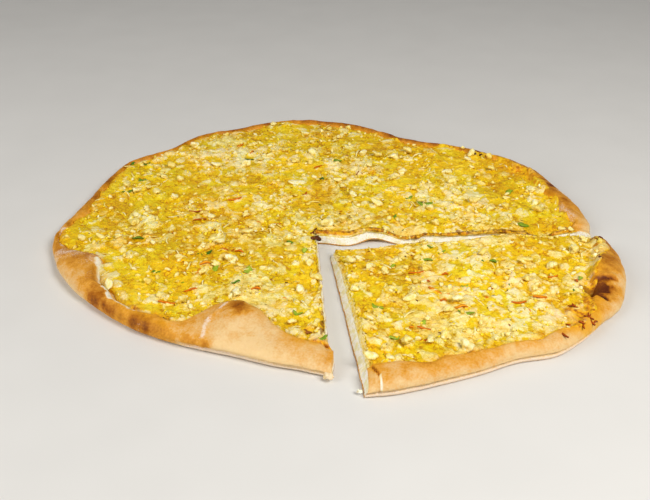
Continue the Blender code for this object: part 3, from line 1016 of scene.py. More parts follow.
def baked_values(sector, facts, past, light, chicken, crumbly):
    """What the finish of the filling and the scattered pieces read at each place: its tone, how much of it
    is chicken, whether it is a cut side, how scorched and grilled it is, and how full of pieces it may be."""
    x, y, z, angle, kind, share = facts.T
    top, cut = kind == FLAT, kind == CUT
    room = 1 - np.exp(-past / 2.5)
    to_cut, edge, hanging = at_cuts(sector, x, y)
    crumbled_side = 0.5 + 0.35 * waves(x, 2 * z, 1.8, 74) + 0.25 * waves(y, 2 * z, 1.8, 77)
    creamy = beside(CREAM_LINE, 2.6, x, y)
    chicken = np.where(top, chicken + USUAL + hills(RICHER, x, y), crumbled_side)
    from_top = 0.34 + 0.25 * waves(x, y + z, 2.4, 78) + 0.3 * hanging
    toasted_edge = edge * np.where(top, 0.40 + 0.6 * waves(x, y, 3, 75), 0.35 * (share < 0.3)) * room
    to_first = sector.to_cuts(x, y)[0]
    at_first = sector.toasted_edge * np.where(top, np.exp(-((to_first / 0.9) ** 2)), angle < sector.first + 1)
    seared = at_first * np.where(top, 0.7, ease((0.62 - share) / 0.15)) * (kind != BASE)
    seared = np.clip(seared * (1.4 + 0.9 * waves(x, y, 9, 79)), 0, 1)
    margin = np.exp(-past / 2.6) * np.clip(0.95 + 0.8 * waves(x, y, 6, 45), 0.2, 1) * (1 - creamy)
    grill = np.clip(grilling(x, y) + margin, 0, 1)
    open_room = ease(room * 1.2) * crumbly * np.clip(1 - 1.1 * grill, 0, 1)
    ledge = cut & (share > 0.05) & (share < 0.6)
    return {
        "tone": np.where(top, light, crumbled_side),
        "chicken": np.maximum(chicken * ease(room * 1.4), creamy),
        "side": np.where(cut, ease((share - from_top) * 2.0), 0.0),
        "scorch": np.clip(toasted_edge + hills(SCORCHED, x, y) + 0.3 * seared, 0, 1),
        "grill": np.maximum(np.where(top, grill, 0), seared),
        "room": np.where(top, open_room * ease((to_cut - 0.6) / 1.5), 0),
        "ledge": np.where(top, open_room, 0.9 * room * ledge),
    }


def spread_filling(sector, name, node, finish):
    """The baked layer of one part, with its own lumps and its crumbled cut sides."""
    low = DOUGH + sector.swelling(*sector.tip)
    tip = (
        (*sector.tip, low + GAP + FILLING, sector.first, FLAT, 0),
        (*sector.tip, low - BED_DEPTH, sector.first, BASE, 0),
    )
    facts, faces = shell(*bed_rings(sector), tip, BED_ROWS)
    x, y, z, angle, kind, share = facts.T
    top, cut = kind == FLAT, kind == CUT
    radii = sector.from_tip(x, y)
    past = np.maximum(spread(sector, angle) - radii, 0)
    rough, light, chicken, crumbly = relief(x, y)
    to_cut, edge, hanging = at_cuts(sector, x, y)
    droop = (0.5 + 0.5 * waves(x, y, 5.0, 76)) * np.exp(-((to_cut / 1.6) ** 2)) + 0.45 * hanging * edge
    points = facts[:, :3].copy()
    points[:, 2] += np.where(top, (1 - np.exp(-past / 2.5)) * (rough - droop), 0)
    points[:, 2] *= sector.pressed_end(angle, radii, x, y)
    upper_share = np.where(cut, 1 - share, np.where(top, 1.0, 0.0))
    crumbled = 0.8 * waves(x, y, 4.5, 71) + 0.6 * waves(x + z, y, 1.9, 72) + 0.2
    hidden = 1.5 * np.clip((share - 0.75) / 0.25, 0, 1) * cut + 1.5 * (kind == BASE)
    tear = sector.torn(x, y, z) + upper_share * crumbled + hidden
    points = sector.pressed(points, tear - hanging * ease(upper_share * 1.6) * edge)
    obj = in_scene(name, points, faces)
    for label, values in baked_values(sector, facts, past, light, chicken, crumbly).items():
        store(obj, label, values)
    dressed(obj, finish, node)


class Net:
    """Adds nodes to a tree in few words. A value is a number, a vector, a colour or another node's socket."""

    def __init__(self, tree):
        self.tree = tree

    def socket(self, sockets, key):
        if isinstance(key, int):
            return sockets[key]
        return next(s for s in sockets if s.enabled and key in (None, s.name))

    def add(self, kind, values=None, out=None, **settings):
        node = self.tree.nodes.new(kind)
        for key, value in settings.items():
            setattr(node, key, value)
        for key, value in (values or {}).items():
            socket = self.socket(node.inputs, key)
            if isinstance(value, bpy.types.NodeSocket):
                self.tree.links.new(value, socket)
            else:
                socket.default_value = value
        return self.socket(node.outputs, out)

    def maths(self, operation, a, b=0.0):
        return self.add("ShaderNodeMath", {0: a, 1: b}, operation=operation)

    def sum_of(self, start, *terms):
        """The start plus each socket times its weight."""
        for socket, weight in terms:
            start = self.add("ShaderNodeMath", {0: socket, 1: weight, 2: start}, operation="MULTIPLY_ADD")
        return start


class Finish(Net):
    """One material with its nodes."""

    def __init__(self, name, **uniform):
        self.material = bpy.data.materials.new(name)
        self.material.use_nodes = True
        super().__init__(self.material.node_tree)
        self.shader = self.tree.nodes["Principled BSDF"]
        self.place = self.add("ShaderNodeTexCoord", out="Object")
        for key, value in uniform.items():
            self.shader.inputs[key.replace("_", " ")].default_value = value

    def noise(self, size_mm, detail=2.0, shift=0.0):
        """Noise from 0 to 1 whose features are about size_mm across."""
        values = {"Vector": self.place, "Location": (shift, shift / 2, shift / 3)}
        moved = self.add("ShaderNodeMapping", values)
        values = {"Vector": moved, "Scale": 1 / (size_mm * MM), "Detail": detail}
        return self.add("ShaderNodeTexNoise", values)

    def cells(self, size_mm, warp_mm, feature="F1"):
        """Irregular cells about size_mm across: how far each place is from its cell's middle or its edge."""
        values = {"Vector": self.place, "Scale": 0.7 / (size_mm * MM), "Detail": 2.0}
        wander = self.add("ShaderNodeTexNoise", values, "Color")
        centred = self.add("ShaderNodeVectorMath", {0: wander, 1: (0.5, 0.5, 0.5)}, operation="SUBTRACT")
        pull = self.add("ShaderNodeVectorMath", {0: centred, 3: warp_mm * MM * 2}, operation="SCALE")
        moved = self.add("ShaderNodeVectorMath", {0: self.place, 1: pull}, operation="ADD")
        values = {"Vector": moved, "Scale": 1 / (size_mm * MM)}
        return self.add("ShaderNodeTexVoronoi", values, "Distance", feature=feature)

    def fact(self, name):
        return self.add("ShaderNodeAttribute", out="Fac", attribute_name=name)

    def between(self, value, low, high):
        """0 below low, 1 above high and smooth from one to the other."""
        values = {"Value": value, "From Min": low, "From Max": high}
        return self.add("ShaderNodeMapRange", values, interpolation_type="SMOOTHSTEP")

    def mix(self, factor, a, b, blend_type="MIX"):
        a = (*a, 1) if isinstance(a, tuple) else a
        b = (*b, 1) if isinstance(b, tuple) else b
        values = {"Factor": factor, "A": a, "B": b}
        return self.add("ShaderNodeMix", values, data_type="RGBA", blend_type=blend_type)

    def tinted(self, colour, where, low, high):
        """The colour, turned a little towards one hue or the other from place to place."""
        tint = self.mix(self.between(where, 0.3, 0.7), low, high)
        return self.mix(1.0, colour, tint, "MULTIPLY")

    def ramp(self, value, stops):
        """A colour for each value, between the stops given as place and colour."""
        socket = self.add("ShaderNodeValToRGB", {"Fac": value}, "Color")
        made = socket.node.color_ramp.elements
        while len(made) < len(stops):
            made.new(0.5)
        for element, (place, colour) in zip(made, stops):
            element.position = place
            element.color = (*colour, 1)
        return socket

    def grain(self, height, depth_mm, under=None):
        """A bump as deep as depth_mm."""
        values = {"Height": height, "Distance": depth_mm * MM, "Strength": 1.0}
        if under is not None:
            values["Normal"] = under
        return self.add("ShaderNodeBump", values, "Normal")

    def finish(self, colour, roughness, normal=None):
        self.tree.links.new(colour, self.shader.inputs["Base Color"])
        self.tree.links.new(roughness, self.shader.inputs["Roughness"])
        if normal is not None:
            self.tree.links.new(normal, self.shader.inputs["Normal"])
        return self.material


# How far light sinks into the dough and into the filling
SOFT_DOUGH = {"Subsurface_Weight": 0.08, "Subsurface_Scale": 0.0015, "Subsurface_Radius": (1.0, 0.6, 0.3)}
SOFT_FILLING = {"Subsurface_Weight": 0.12, "Subsurface_Scale": 0.0015, "Subsurface_Radius": (1.0, 0.7, 0.4)}

# Tones along a scale from 0 to 1, such as how far the dough was browned or a small piece's own tone: the
# place on the scale and the colour there
GREASED_TONES = ((0.0, (0.86, 0.50, 0.03)), (0.5, (0.74, 0.32, 0.008)), (0.95, (0.20, 0.05, 0.005)))
CUT_SIDE_TONES = ((0.36, (0.80, 0.56, 0.06)), (0.50, (0.87, 0.74, 0.30)), (0.62, (0.94, 0.88, 0.60)))
GRILLED_TONES = ((0.36, (0.40, 0.12, 0.004)), (0.46, (0.72, 0.28, 0.004)), (0.58, (0.86, 0.46, 0.008)))
FLECK_TONES = ((0.0, (0.05, 0.012, 0.004)), (0.5, (0.18, 0.045, 0.006)), (1.0, (0.42, 0.15, 0.015)))
CARROT_TONES = (
    (0.0, (0.16, 0.025, 0.004)),
    (0.3, (0.48, 0.085, 0.002)),
    (0.7, (0.78, 0.21, 0.003)),
    (1.0, (0.90, 0.38, 0.01)),
)
HERB_TONES = (
    (0.0, (0.02, 0.07, 0.004)),
    (0.35, (0.10, 0.22, 0.008)),
    (0.7, (0.32, 0.44, 0.02)),
    (1.0, (0.60, 0.64, 0.09)),
)
CRUMB_SHADE = (0.80, 0.71, 0.46)
CRUMB_BUTTER = (0.84, 0.76, 0.42)
WARM_TINT = (1.07, 0.94, 0.86)
COOL_TINT = (0.98, 1.01, 1.0)


def dough_finish(colours):
    """Baked bread crust: pale to golden to brown, floury in places, with an open pale crumb at the cuts."""
    net = Finish("baked_dough_crust", Specular_IOR_Level=0.13, **SOFT_DOUGH)
    patches, specks = net.noise(4.5, 3), net.noise(1.1, 3, 0.3)
    toast = net.sum_of(-0.33, (patches, 0.34), (specks, 0.32), (net.fact("toast"), 1.0))
    stops = (
        (0.0, tuple(colours.raw_dough)),
        (0.28, tuple(colours.pale_crust)),
        (0.52, tuple(colours.golden_crust)),
        (0.78, tuple(colours.brown_crust)),
        (1.0, tuple(colours.burnt_crust)),
    )
    greased = net.ramp(toast, GREASED_TONES)
    crust = net.mix(net.maths("MULTIPLY", net.fact("grease"), 0.85), net.ramp(toast, stops), greased)
    crumb = net.mix(net.between(net.noise(1.0, 2, 0.7), 0.30, 0.50), CRUMB_SHADE, tuple(colours.crumb))
    crumb = net.mix(net.between(net.noise(4.0, 3, 4.7), 0.42, 0.66), crumb, CRUMB_BUTTER)
    cut = net.maths("MULTIPLY", net.fact("crumb"), net.between(net.maths("SUBTRACT", 0.6, toast), 0.0, 0.3))
    body = net.mix(cut, crust, crumb)
    patchy = net.between(net.sum_of(0.0, (net.fact("flour"), 1.0), (net.noise(0.9, 3, 1.1), 1.0)), 0.78, 1.2)
    body = net.mix(net.maths("MULTIPLY", patchy, 0.8), body, tuple(colours.flour))
    roughness = net.sum_of(0.5, (net.noise(3.0, 2, 2.0), 0.25), (net.fact("grease"), -0.2))
    fine = net.grain(net.noise(0.8, 3, 0.2), 0.12)
    skin = net.grain(net.noise(2.6, 3, 0.9), 0.35, fine)
    return net.finish(body, roughness, skin)


def egg_stops(colours):
    """The tones of the egg and melted cheese, from toasted hollows in painted shade to its brightest places.
    """
    return (
        (0.0, tuple(colours.toasted_and_shaded_egg)),
        (0.25, tuple(colours.mustard)),
        (0.6, tuple(colours.egg_yellow)),
        (1.0, tuple(colours.bright_yellow)),
    )


def chicken_stops(colours):
    """The tones of the chicken, from its shaded sides to its whitest pieces."""
    return (
        (0.0, tuple(colours.chicken_shade)),
        (0.3, tuple(colours.buttery)),
        (0.65, tuple(colours.cream)),
        (1.0, tuple(colours.chicken)),
    )


def filling_finish(colours):
    """The baked layer: egg and cheese melted round chopped chicken, crumbly, and a little glossy with fat."""
    net = Finish("baked_chicken_layer", Specular_IOR_Level=0.25, **SOFT_FILLING)
    away = net.cells(2.0, 0.8)
    # Painted shade in the creases between the lumps, which darkens the tone where slow noise lets it
    painted_crease_shade = net.between(net.cells(3.6, 1.6, "DISTANCE_TO_EDGE"), 0.12, 0.0)
    light = net.sum_of(
        -0.44,
        (net.fact("tone"), 0.65),
        (net.noise(1.1, 2, 1.4), 0.65),
        (net.noise(0.6, 1, 0.6), 0.6),
        (net.maths("MULTIPLY", painted_crease_shade, net.between(net.noise(7, 1, 4.0), 0.4, 0.6)), -0.4),
    )
    chicken, mottle, fine_mottle = net.fact("chicken"), net.noise(1.6, 2, 5.0), net.noise(0.7, 1, 5.5)
    pale = net.between(net.sum_of(-0.4, (chicken, 1.0), (mottle, 0.4), (fine_mottle, 0.4)), 0.40, 0.59)
    body = net.mix(pale, net.ramp(light, egg_stops(colours)), net.ramp(light, chicken_stops(colours)))
    body = net.tinted(body, net.noise(18, 3, 6.0), WARM_TINT, COOL_TINT)
    side = net.ramp(net.noise(2.6, 3, 2.2), CUT_SIDE_TONES)
    body = net.mix(net.maths("MULTIPLY", net.fact("side"), 0.9), body, side)
    body = net.mix(net.fact("grill"), body, net.ramp(net.noise(2.4, 3, 3.4), GRILLED_TONES))
    scorch = net.sum_of(0.0, (net.fact("scorch"), 1.0), (net.noise(1.5, 3, 3.0), 0.8))
    body = net.mix(net.maths("MULTIPLY", net.between(scorch, 0.8, 1.25), 0.8), body, tuple(colours.scorched))
    roughness = net.sum_of(0.16, (net.noise(2.0, 2, 2.6), 0.4))
    fine = net.grain(net.noise(0.6, 2, 0.4), 0.18)
    grainy = net.grain(net.maths("SUBTRACT", 0.9, away), 0.35, fine)
    return net.finish(body, roughness, net.grain(net.noise(1.7, 2, 1.9), 0.35, grainy))


def piece_finish(name, stops, tones, roughness, mottling, **uniform):
    """The finish of a kind of small piece: each has its own tone between the two, is mottled, and is darker
    round its sides and lighter on top, partly where the layer baked on to it and partly as painted shade."""
    net = Finish(name, **uniform)
    facing = net.add("ShaderNodeSeparateXYZ", {"Vector": net.add("ShaderNodeNewGeometry", out="Normal")}, "Z")
    low, high = tones
    tone = net.sum_of(
        low - 0.15 - mottling,
        (net.fact("tone"), high - low),
        (net.noise(1.1, 2, 1.4), 0.9 * mottling),
        (net.noise(2.2, 2, 0.5), 1.1 * mottling),
        # Lighter where the piece faces up and darker on its sides: partly painted shade
        (net.between(facing, -0.1, 0.8), 0.25),
    )
    gloss = net.sum_of(roughness - 0.15, (net.noise(2.0, 1, 1.5), 0.3))
    return net.finish(net.ramp(tone, stops), gloss, net.grain(net.noise(0.9, 2, 0.8), 0.15))


def soft_piece(name, stops, tones, roughness):
    """The finish of a moist piece that light sinks into."""
    return piece_finish(name, stops, tones, roughness, 0.9, Specular_IOR_Level=0.18, **SOFT_FILLING)


def ball(draw, subdivisions, dents, grit, flats=7):
    """An uneven ball, about one long, one wide and one high: with flats, as a torn piece has, a few broad
    dents and finer ones on them."""
    mesh = bmesh.new()
    bmesh.ops.create_icosphere(mesh, subdivisions=subdivisions, radius=0.5)
    ways = draw.normal(size=(flats, 3))
    ways /= np.linalg.norm(ways, axis=1)[:, None] * draw.uniform(0.55, 0.9, (flats, 1))
    swells = [(draw.normal(size=3) * pull, draw.uniform(0, math.tau), amount / 2)
              for pull, amount in ((1.8, dents), (2.6, dents), (5.0, grit), (6.5, grit))]
    for v in mesh.verts:
        way = np.array(v.co) * 2
        v.co *= (1 + float((np.maximum(ways @ way, 0) ** 6).sum())) ** (-1 / 6)
        v.co *= 1 + sum(amount * math.sin(float(way @ pull) + phase) for pull, phase, amount in swells)
    return mesh


def ribbon(draw, bend, wave, point, steps, lanes=2):
    """A thin wavy strip, one long, one wide and one thick, with both faces alike. It bends across itself by
    as many widths, waves up and down by as many thicknesses, and is drawn to a point at both ends."""
    mesh = bmesh.new()
    bow = draw.uniform(-bend, bend)
    hook = draw.uniform(-bend, bend) * 0.6
    phase = draw.uniform(0, math.tau)
    curl = draw.uniform(-1, 1)
    rows = []
    for k in range(steps + 1):
        share = k / steps
        t = 2 * share - 1
        half = 0.5 * max(1 - point * t * t - 0.25 * draw.uniform(), 0.08)
        across = [half * (2 * m / (lanes - 1) - 1) for m in range(lanes)]
        middle = bow * (1 - t * t) + hook * t * (1 - t * t) * 2
        lift = wave * math.sin(5 * share + phase)
        top = [(share - 0.5, middle + a, lift + curl * (2 * a) ** 2 + 0.5) for a in across]
        low = [(x, y, z - 1) for x, y, z in reversed(top)]
        rows.append([mesh.verts.new(p) for p in top + low])
    around = 2 * lanes
    for near, far in zip(rows, rows[1:]):
        for k in range(around):
            mesh.faces.new((near[k], far[k], far[(k + 1) % around], near[(k + 1) % around]))
    for row, turn in ((rows[0], 1), (rows[-1], -1)):
        for k in range(lanes - 1):
            corners = (row[k], row[k + 1], row[around - 2 - k], row[around - 1 - k])
            mesh.faces.new(corners[::turn])
    bmesh.ops.triangulate(mesh, faces=mesh.faces)
    bmesh.ops.recalc_face_normals(mesh, faces=mesh.faces)
    return mesh


def shapes(name, make, count, seed):
    """A collection of a few shapes of one kind, for the geometry nodes to pick from."""
    group = bpy.data.collections.new(name + "_shapes")
    bpy.context.scene.collection.children.link(group)
    draw = np.random.default_rng(seed)
    for k in range(count):
        mesh = make(draw)
        data = bpy.data.meshes.new(f"{name}_shape_{k}")
        mesh.to_mesh(data)
        mesh.free()
        data.shade_smooth()
        group.objects.link(bpy.data.objects.new(data.name, data))
    return group


def pieces_tree():
    """Pieces on the filling: one at each point of the object's own mesh, turned and sized by the point's
    facts, and more of them scattered over both beds."""
    tree = bpy.data.node_groups.new("pieces_on_filling", "GeometryNodeTree")
    sockets = (
        ("Geometry", "Geometry"),
        ("Whole", "Object"),
        ("Slice", "Object"),
        ("Pieces", "Collection"),
        ("Spacing", "Float"),
        ("Cover", "Float"),
        ("Where", "String"),
        ("Smallest", "Float"),
        ("Largest", "Float"),
        ("Proportions", "Vector"),
        ("Lean", "Float"),
        ("Raise", "Float"),
        ("Seed", "Int"),
        ("Finish", "Material"),
    )
    for label, kind in sockets:
        tree.interface.new_socket(label, in_out="INPUT", socket_type="NodeSocket" + kind)
    tree.interface.new_socket("Geometry", in_out="OUTPUT", socket_type="NodeSocketGeometry")
    given = tree.nodes.new("NodeGroupInput").outputs
    net = Net(tree)
    join = tree.nodes.new("GeometryNodeJoinGeometry")
    for part in ("Whole", "Slice"):
        values = {"Object": given[part]}
        bed = net.add("GeometryNodeObjectInfo", values, "Geometry", transform_space="RELATIVE")
        tree.links.new(bed, join.inputs[0])
    room = net.add("GeometryNodeInputNamedAttribute", {"Name": given["Where"]}, data_type="FLOAT")
    values = {
        "Mesh": join.outputs[0],
        "Distance Min": given["Spacing"],
        "Density Max": net.maths("DIVIDE", 2.0, net.maths("MULTIPLY", given["Spacing"], given["Spacing"])),
        "Density Factor": net.maths("MULTIPLY", room, given["Cover"]),
        "Seed": given["Seed"],
    }
    points = net.add("GeometryNodeDistributePointsOnFaces", values, distribute_method="POISSON")
    outward, upright = points.node.outputs["Normal"], points.node.outputs["Rotation"]
    values = {"Min": 0.0, "Max": 1.0, "Seed": given["Seed"]}
    tone = net.add("FunctionNodeRandomValue", values, data_type="FLOAT")
    values = {"Min": given["Smallest"], "Max": given["Largest"], "Seed": net.maths("ADD", given["Seed"], 1.0)}
    size = net.add("FunctionNodeRandomValue", values, data_type="FLOAT")
    back = net.maths("MULTIPLY", given["Lean"], -1.0)
    least = net.add("ShaderNodeCombineXYZ", {"X": back, "Y": back, "Z": 0.0})
    most = net.add("ShaderNodeCombineXYZ", {"X": given["Lean"], "Y": given["Lean"], "Z": math.tau})
    turn = net.add("FunctionNodeRandomValue", {"Min": least, "Max": most}, data_type="FLOAT_VECTOR")
    turned = net.add("FunctionNodeEulerToRotation", {"Euler": turn})
    values = {"Rotation": upright, "Rotate By": turned}
    rotation = net.add("FunctionNodeRotateRotation", values, rotation_space="LOCAL")
    raised = net.maths("MULTIPLY", size, given["Raise"])
    offset = net.add("ShaderNodeVectorMath", {0: outward, 3: raised}, operation="SCALE")
    values = {"Geometry": points, "Name": "tone", "Value": tone}
    toned = net.add("GeometryNodeStoreNamedAttribute", values, data_type="FLOAT", domain="POINT")
    placed = net.add("GeometryNodeSetPosition", {"Geometry": toned, "Offset": offset})
    picked = {"Collection": given["Pieces"], "Separate Children": True, "Reset Children": True}
    kinds = net.add("GeometryNodeCollectionInfo", picked)
    values = {
        "Points": placed,
        "Instance": kinds,
        "Pick Instance": True,
        "Rotation": rotation,
        "Scale": net.add("ShaderNodeVectorMath", {0: given["Proportions"], 3: size}, operation="SCALE"),
    }
    scattered = net.add("GeometryNodeInstanceOnPoints", values)
    own_turn = net.add("GeometryNodeInputNamedAttribute", {"Name": "turn"}, data_type="FLOAT_VECTOR")
    own_size = net.add("GeometryNodeInputNamedAttribute", {"Name": "stretch"}, data_type="FLOAT_VECTOR")
    values = {
        "Points": given["Geometry"],
        "Instance": kinds,
        "Pick Instance": True,
        "Rotation": net.add("FunctionNodeEulerToRotation", {"Euler": own_turn}),
        "Scale": own_size,
    }
    by_hand = net.add("GeometryNodeInstanceOnPoints", values)
    both = tree.nodes.new("GeometryNodeJoinGeometry")
    tree.links.new(scattered, both.inputs[0])
    tree.links.new(by_hand, both.inputs[0])
    real = net.add("GeometryNodeRealizeInstances", {"Geometry": both.outputs[0]})
    finished = net.add("GeometryNodeSetMaterial", {"Geometry": real, "Material": given["Finish"]})
    tree.links.new(finished, tree.nodes.new("NodeGroupOutput").inputs[0])
    return tree


def surface_of(obj):
    return BVHTree.FromPolygons([v.co for v in obj.data.vertices], [p.vertices[:] for p in obj.data.polygons])


def placed_points(name, kind, seed):
    """The points for the pieces of a kind that have places of their own."""
    draw = np.random.default_rng(seed)
    beds = [surface_of(bpy.data.objects[bed]) for bed in BEDS + CRUSTS]
    places, turns, sizes, tones = [], [], [], []
    for x, y, length, width, direction, tone in kind.places:
        at = Vector(((x + CUT_POINT[0]) * MM, (y + CUT_POINT[1]) * MM, 0.1))
        hits = [bed.ray_cast(at, Vector((0, 0, -1)))[0] for bed in beds]
        height = max((hit.z for hit in hits if hit is not None), default=None)
        if height is None:
            raise RuntimeError(f"{name}: no filling under {x}, {y}")
        places.append((at.x, at.y, height - kind.sink * MM))
        turns.append((draw.uniform(-kind.tilt, kind.tilt), draw.uniform(-kind.tilt, kind.tilt),
                      math.radians(direction)))
        sizes.append((length * MM, width * MM, kind.thickness * MM))
        tones.append(tone)
    data = bpy.data.meshes.new(name + "_points")
    data.from_pydata(places, [], [])
    for label, values in (("turn", turns), ("stretch", sizes)):
        attribute = data.attributes.new(label, "FLOAT_VECTOR", "POINT")
        attribute.data.foreach_set("vector", np.array(values, np.float32).ravel())
    data.attributes.new("tone", "FLOAT", "POINT").data.foreach_set("value", np.array(tones, np.float32))
    return data


def scatter(name, finish, sizes):
    """One piece made of all the small ones of a kind: those at places of their own and those spread."""
    kind = KINDS[name]
    seed = sizes.seed + kind.seed
    tree = bpy.data.node_groups.get("pieces_on_filling") or pieces_tree()
    group = shapes(name, kind.shape, kind.count, seed)
    own = placed_points(name, kind, sizes.seed) if kind.places else bpy.data.meshes.new(name + "_points")
    carrier = bpy.data.objects.new(name + "_points", own)
    bpy.context.scene.collection.objects.link(carrier)
    modifier = carrier.modifiers.new("pieces", "NODES")
    modifier.node_group = tree
    inputs = {
        "Whole": bpy.data.objects[BEDS[0]],
        "Slice": bpy.data.objects[BEDS[1]],
        "Pieces": group,
        "Spacing": getattr(sizes, name + "_spacing"),
        "Cover": getattr(sizes, name + "_cover"),
        "Where": kind.where,
        "Smallest": kind.lengths[0] * MM,
        "Largest": kind.lengths[1] * MM,
        "Proportions": kind.proportions,
        "Lean": kind.lean,
        "Raise": kind.raised,
        "Seed": seed,
        "Finish": finish,
    }
    for item in tree.interface.items_tree:
        if item.in_out == "INPUT" and item.name in inputs:
            modifier[item.identifier] = inputs[item.name]
    bpy.context.view_layer.update()
    ready = carrier.evaluated_get(bpy.context.evaluated_depsgraph_get())
    data = bpy.data.meshes.new_from_object(ready)
    carrier.modifiers.clear()
    piece = bpy.data.objects.new(name, data)
    bpy.context.scene.collection.objects.link(piece)
    bpy.data.objects.remove(carrier)
    for shape in list(group.objects):
        bpy.data.objects.remove(shape)
    bpy.data.collections.remove(group)
    kept_on(piece)
    print(name, len(data.polygons), "faces")



# Pieces at places of their own: x, y, length, width, direction in degrees and tone
CHICKEN = (
    (-14.5, 74.3, 12, 9, 15, 0.95),
    (88.9, 93.1, 8, 6, 40, 0.8),
    (141.9, 67.7, 9, 6, -20, 0.85),
    (-36.2, 143.4, 8, 5, 10, 0.8),
    (-9.9, 168.0, 9, 6, -10, 0.75),
    (150.0, 8.0, 8, 5, -30, 0.45),
    (155.5, 5.8, 6, 3.5, -20, 0.35),
)
HERBS = (
    (-122.1, 105.5, 5, 3, 30, 0.3),
    (-120.3, 77.7, 7, 4, -40, 0.5),
    (-127.0, 58.1, 7.5, 5, 10, 0.35),
    (-132.4, 107.3, 5, 3, 60, 0.2),
    (-50.8, 118.4, 9, 6, 60, 0.05),
    (12.4, 111.0, 7, 3, 0, 0.45),
    (1.8, 81.0, 4, 2.5, -30, 0.2),
    (68.6, 39.5, 10, 6, 0, 0.55),
    (59.1, 50.2, 5, 3, 20, 0.5),
    (47.4, 21.8, 5, 2.5, 50, 0.4),
    (126.4, 59.7, 7, 5, 30, 0.6),
    (120.3, 98.4, 4, 2.5, 0, 0.5),
    (127.0, 12.0, 8, 5, -10, 0.55),
    (-109.2, -7.1, 7.5, 3, -5, 0.4),
    (-66.7, -25.0, 9, 3.5, 15, 0.1),
    (-59.9, -45.5, 8.5, 5, 40, 0.7),
    (-40.4, -47.8, 7.5, 5, 70, 0.75),
    (-45.2, -64.8, 5, 3, 0, 0.35),
    (-92.0, -47.8, 5, 2.5, 20, 0.4),
    (-16.5, -12.3, 6, 2.5, -20, 0.4),
    (-8.5, -23.8, 5, 3.5, 80, 0.8),
    (-10.3, -93.0, 6, 3.5, -30, 0.7),
    (2.9, -117.0, 5, 3, 20, 0.5),
    (72.0, -26.3, 6, 2.2, 25, 0.6),
    (61.8, -34.8, 9, 3, -15, 0.55),
    (66.0, -21.2, 4, 2, 10, 0.6),
    (101.4, -37.2, 6, 4, 20, 0.5),
    (42.9, -40.8, 4.5, 2, 40, 0.75),
    (81.1, -64.8, 4, 2.5, 0, 0.75),
    (32.1, -85.9, 8, 3.5, -45, 0.7),
    (77.9, -94.0, 9, 3, -20, 0.6),
    (55.1, -102.8, 5, 3, 60, 0.75),
    (38.7, -115.9, 6, 4, 20, 0.8),
    (146.0, -57.0, 6, 3, 70, 0.7),
)
SHREDS = (
    (-64.8, -42.0, 6, 2.4, 15, 0.9),
    (-66.9, -49.0, 5, 3.0, 40, 0.75),
    (-55.3, -21.2, 5, 1.2, -40, 0.4),
    (-33.9, -70.2, 5.5, 2.0, -10, 0.6),
    (-25.4, 11.9, 4, 2.0, 10, 0.7),
    (-78.4, 29.1, 9, 1.2, -5, 0.15),
    (-74.4, 16.1, 9, 1.3, 30, 0.35),
    (-86.7, 0.9, 8, 1.0, 50, 0.3),
    (-80.7, -82.9, 10, 1.4, -10, 0.6),
    (-46.8, -23.8, 6, 1.6, -30, 0.5),
    (-69.7, -68.0, 8, 1.4, 12, 0.5),
    (-60.7, 143.4, 9, 1.6, 35, 0.6),
    (-49.3, 127.8, 6, 1.4, 70, 0.6),
    (-9.4, 56.5, 5, 1.6, 60, 0.35),
    (-54.9, 45.6, 9, 1.6, 15, 0.6),
    (-1.1, 101.9, 7, 1.4, 40, 0.5),
    (66.1, -71.3, 13, 1.8, -35, 0.75),
    (55.4, -49.0, 9, 1.4, 15, 0.45),
    (71.6, -51.3, 4, 1.4, 0, 0.5),
    (76.0, -88.0, 7, 2.2, 5, 0.85),
    (100.5, -50.2, 8, 1.2, -5, 0.5),
    (95.7, -66.9, 4, 1.6, 0, 0.6),
    (91.8, -74.5, 4, 1.2, 60, 0.7),
    (108.1, -80.8, 8, 1.6, 0, 0.45),
    (120.0, -77.0, 8, 2.4, 5, 0.7),
    (48.7, -104.7, 5, 3.0, 80, 0.8),
    (54.5, -108.5, 7, 1.4, -10, 0.5),
    (60.6, -60.3, 4, 1.2, 10, 0.4),
    (67.1, -81.8, 4, 1.4, -20, 0.5),
    (54.7, -117.8, 7, 1.6, 5, 0.4),
)
SCORCHED_SHREDS = (
    (135.6, -86.7, 5.4, 1.2, -32, 0.10),
    (142.1, -99.1, 6.3, 1.1, -77, 0.05),
    (136.6, -106.5, 6.6, 1.0, -95, 0.10),
    (135.9, -104.8, 3.4, 1.1, -31, 0.15),
    (140.2, -98.8, 4.4, 1.2, 21, 0.05),
    (141.9, -102.2, 5.5, 1.1, -60, 0.10),
    (144.2, -100.6, 4.5, 1.0, 40, 0.12),
    (129.3, -104.3, 3.6, 1.2, -61, 0.10),
    (124.6, -114.6, 7.8, 1.1, -65, 0.05),
    (143.1, -60.3, 3.4, 1.2, -57, 0.35),
    (137.5, -84.9, 4.0, 1.2, -11, 0.10),
    (132.1, -53.4, 6.1, 1.2, 15, 0.55),
)
TOASTED_BITS = (
    (-2.9, 1.9, 6.5, 4.4, 40, 0.40),
    (-1.4, -1.2, 5.6, 3.8, -50, 0.10),
    (-2.2, -4.4, 5.6, 3.6, 60, 0.10),
    (-3.8, -7.4, 3.6, 2.6, 20, 0.25),
    (-1.9, 4.8, 4.4, 2.6, 80, 0.25),
    (-5.8, -110.8, 7.5, 3.8, -25, 0.70),
    (-80.5, -98.5, 2.4, 1.6, 0, 0.2),
    (168.5, -12.0, 4.0, 2.6, 20, 0.35),
    (160.5, -42.3, 2.2, 1.8, 60, 0.15),
    (112.4, 122.5, 2.6, 1.6, -20, 0.05),
    (116.5, 121.5, 3.2, 1.6, 10, 0.1),
    (153.6, -78.4, 5.0, 1.3, -55, 0.0),
    (-17.5, -60.0, 2.0, 1.4, 0, 0.2),
)



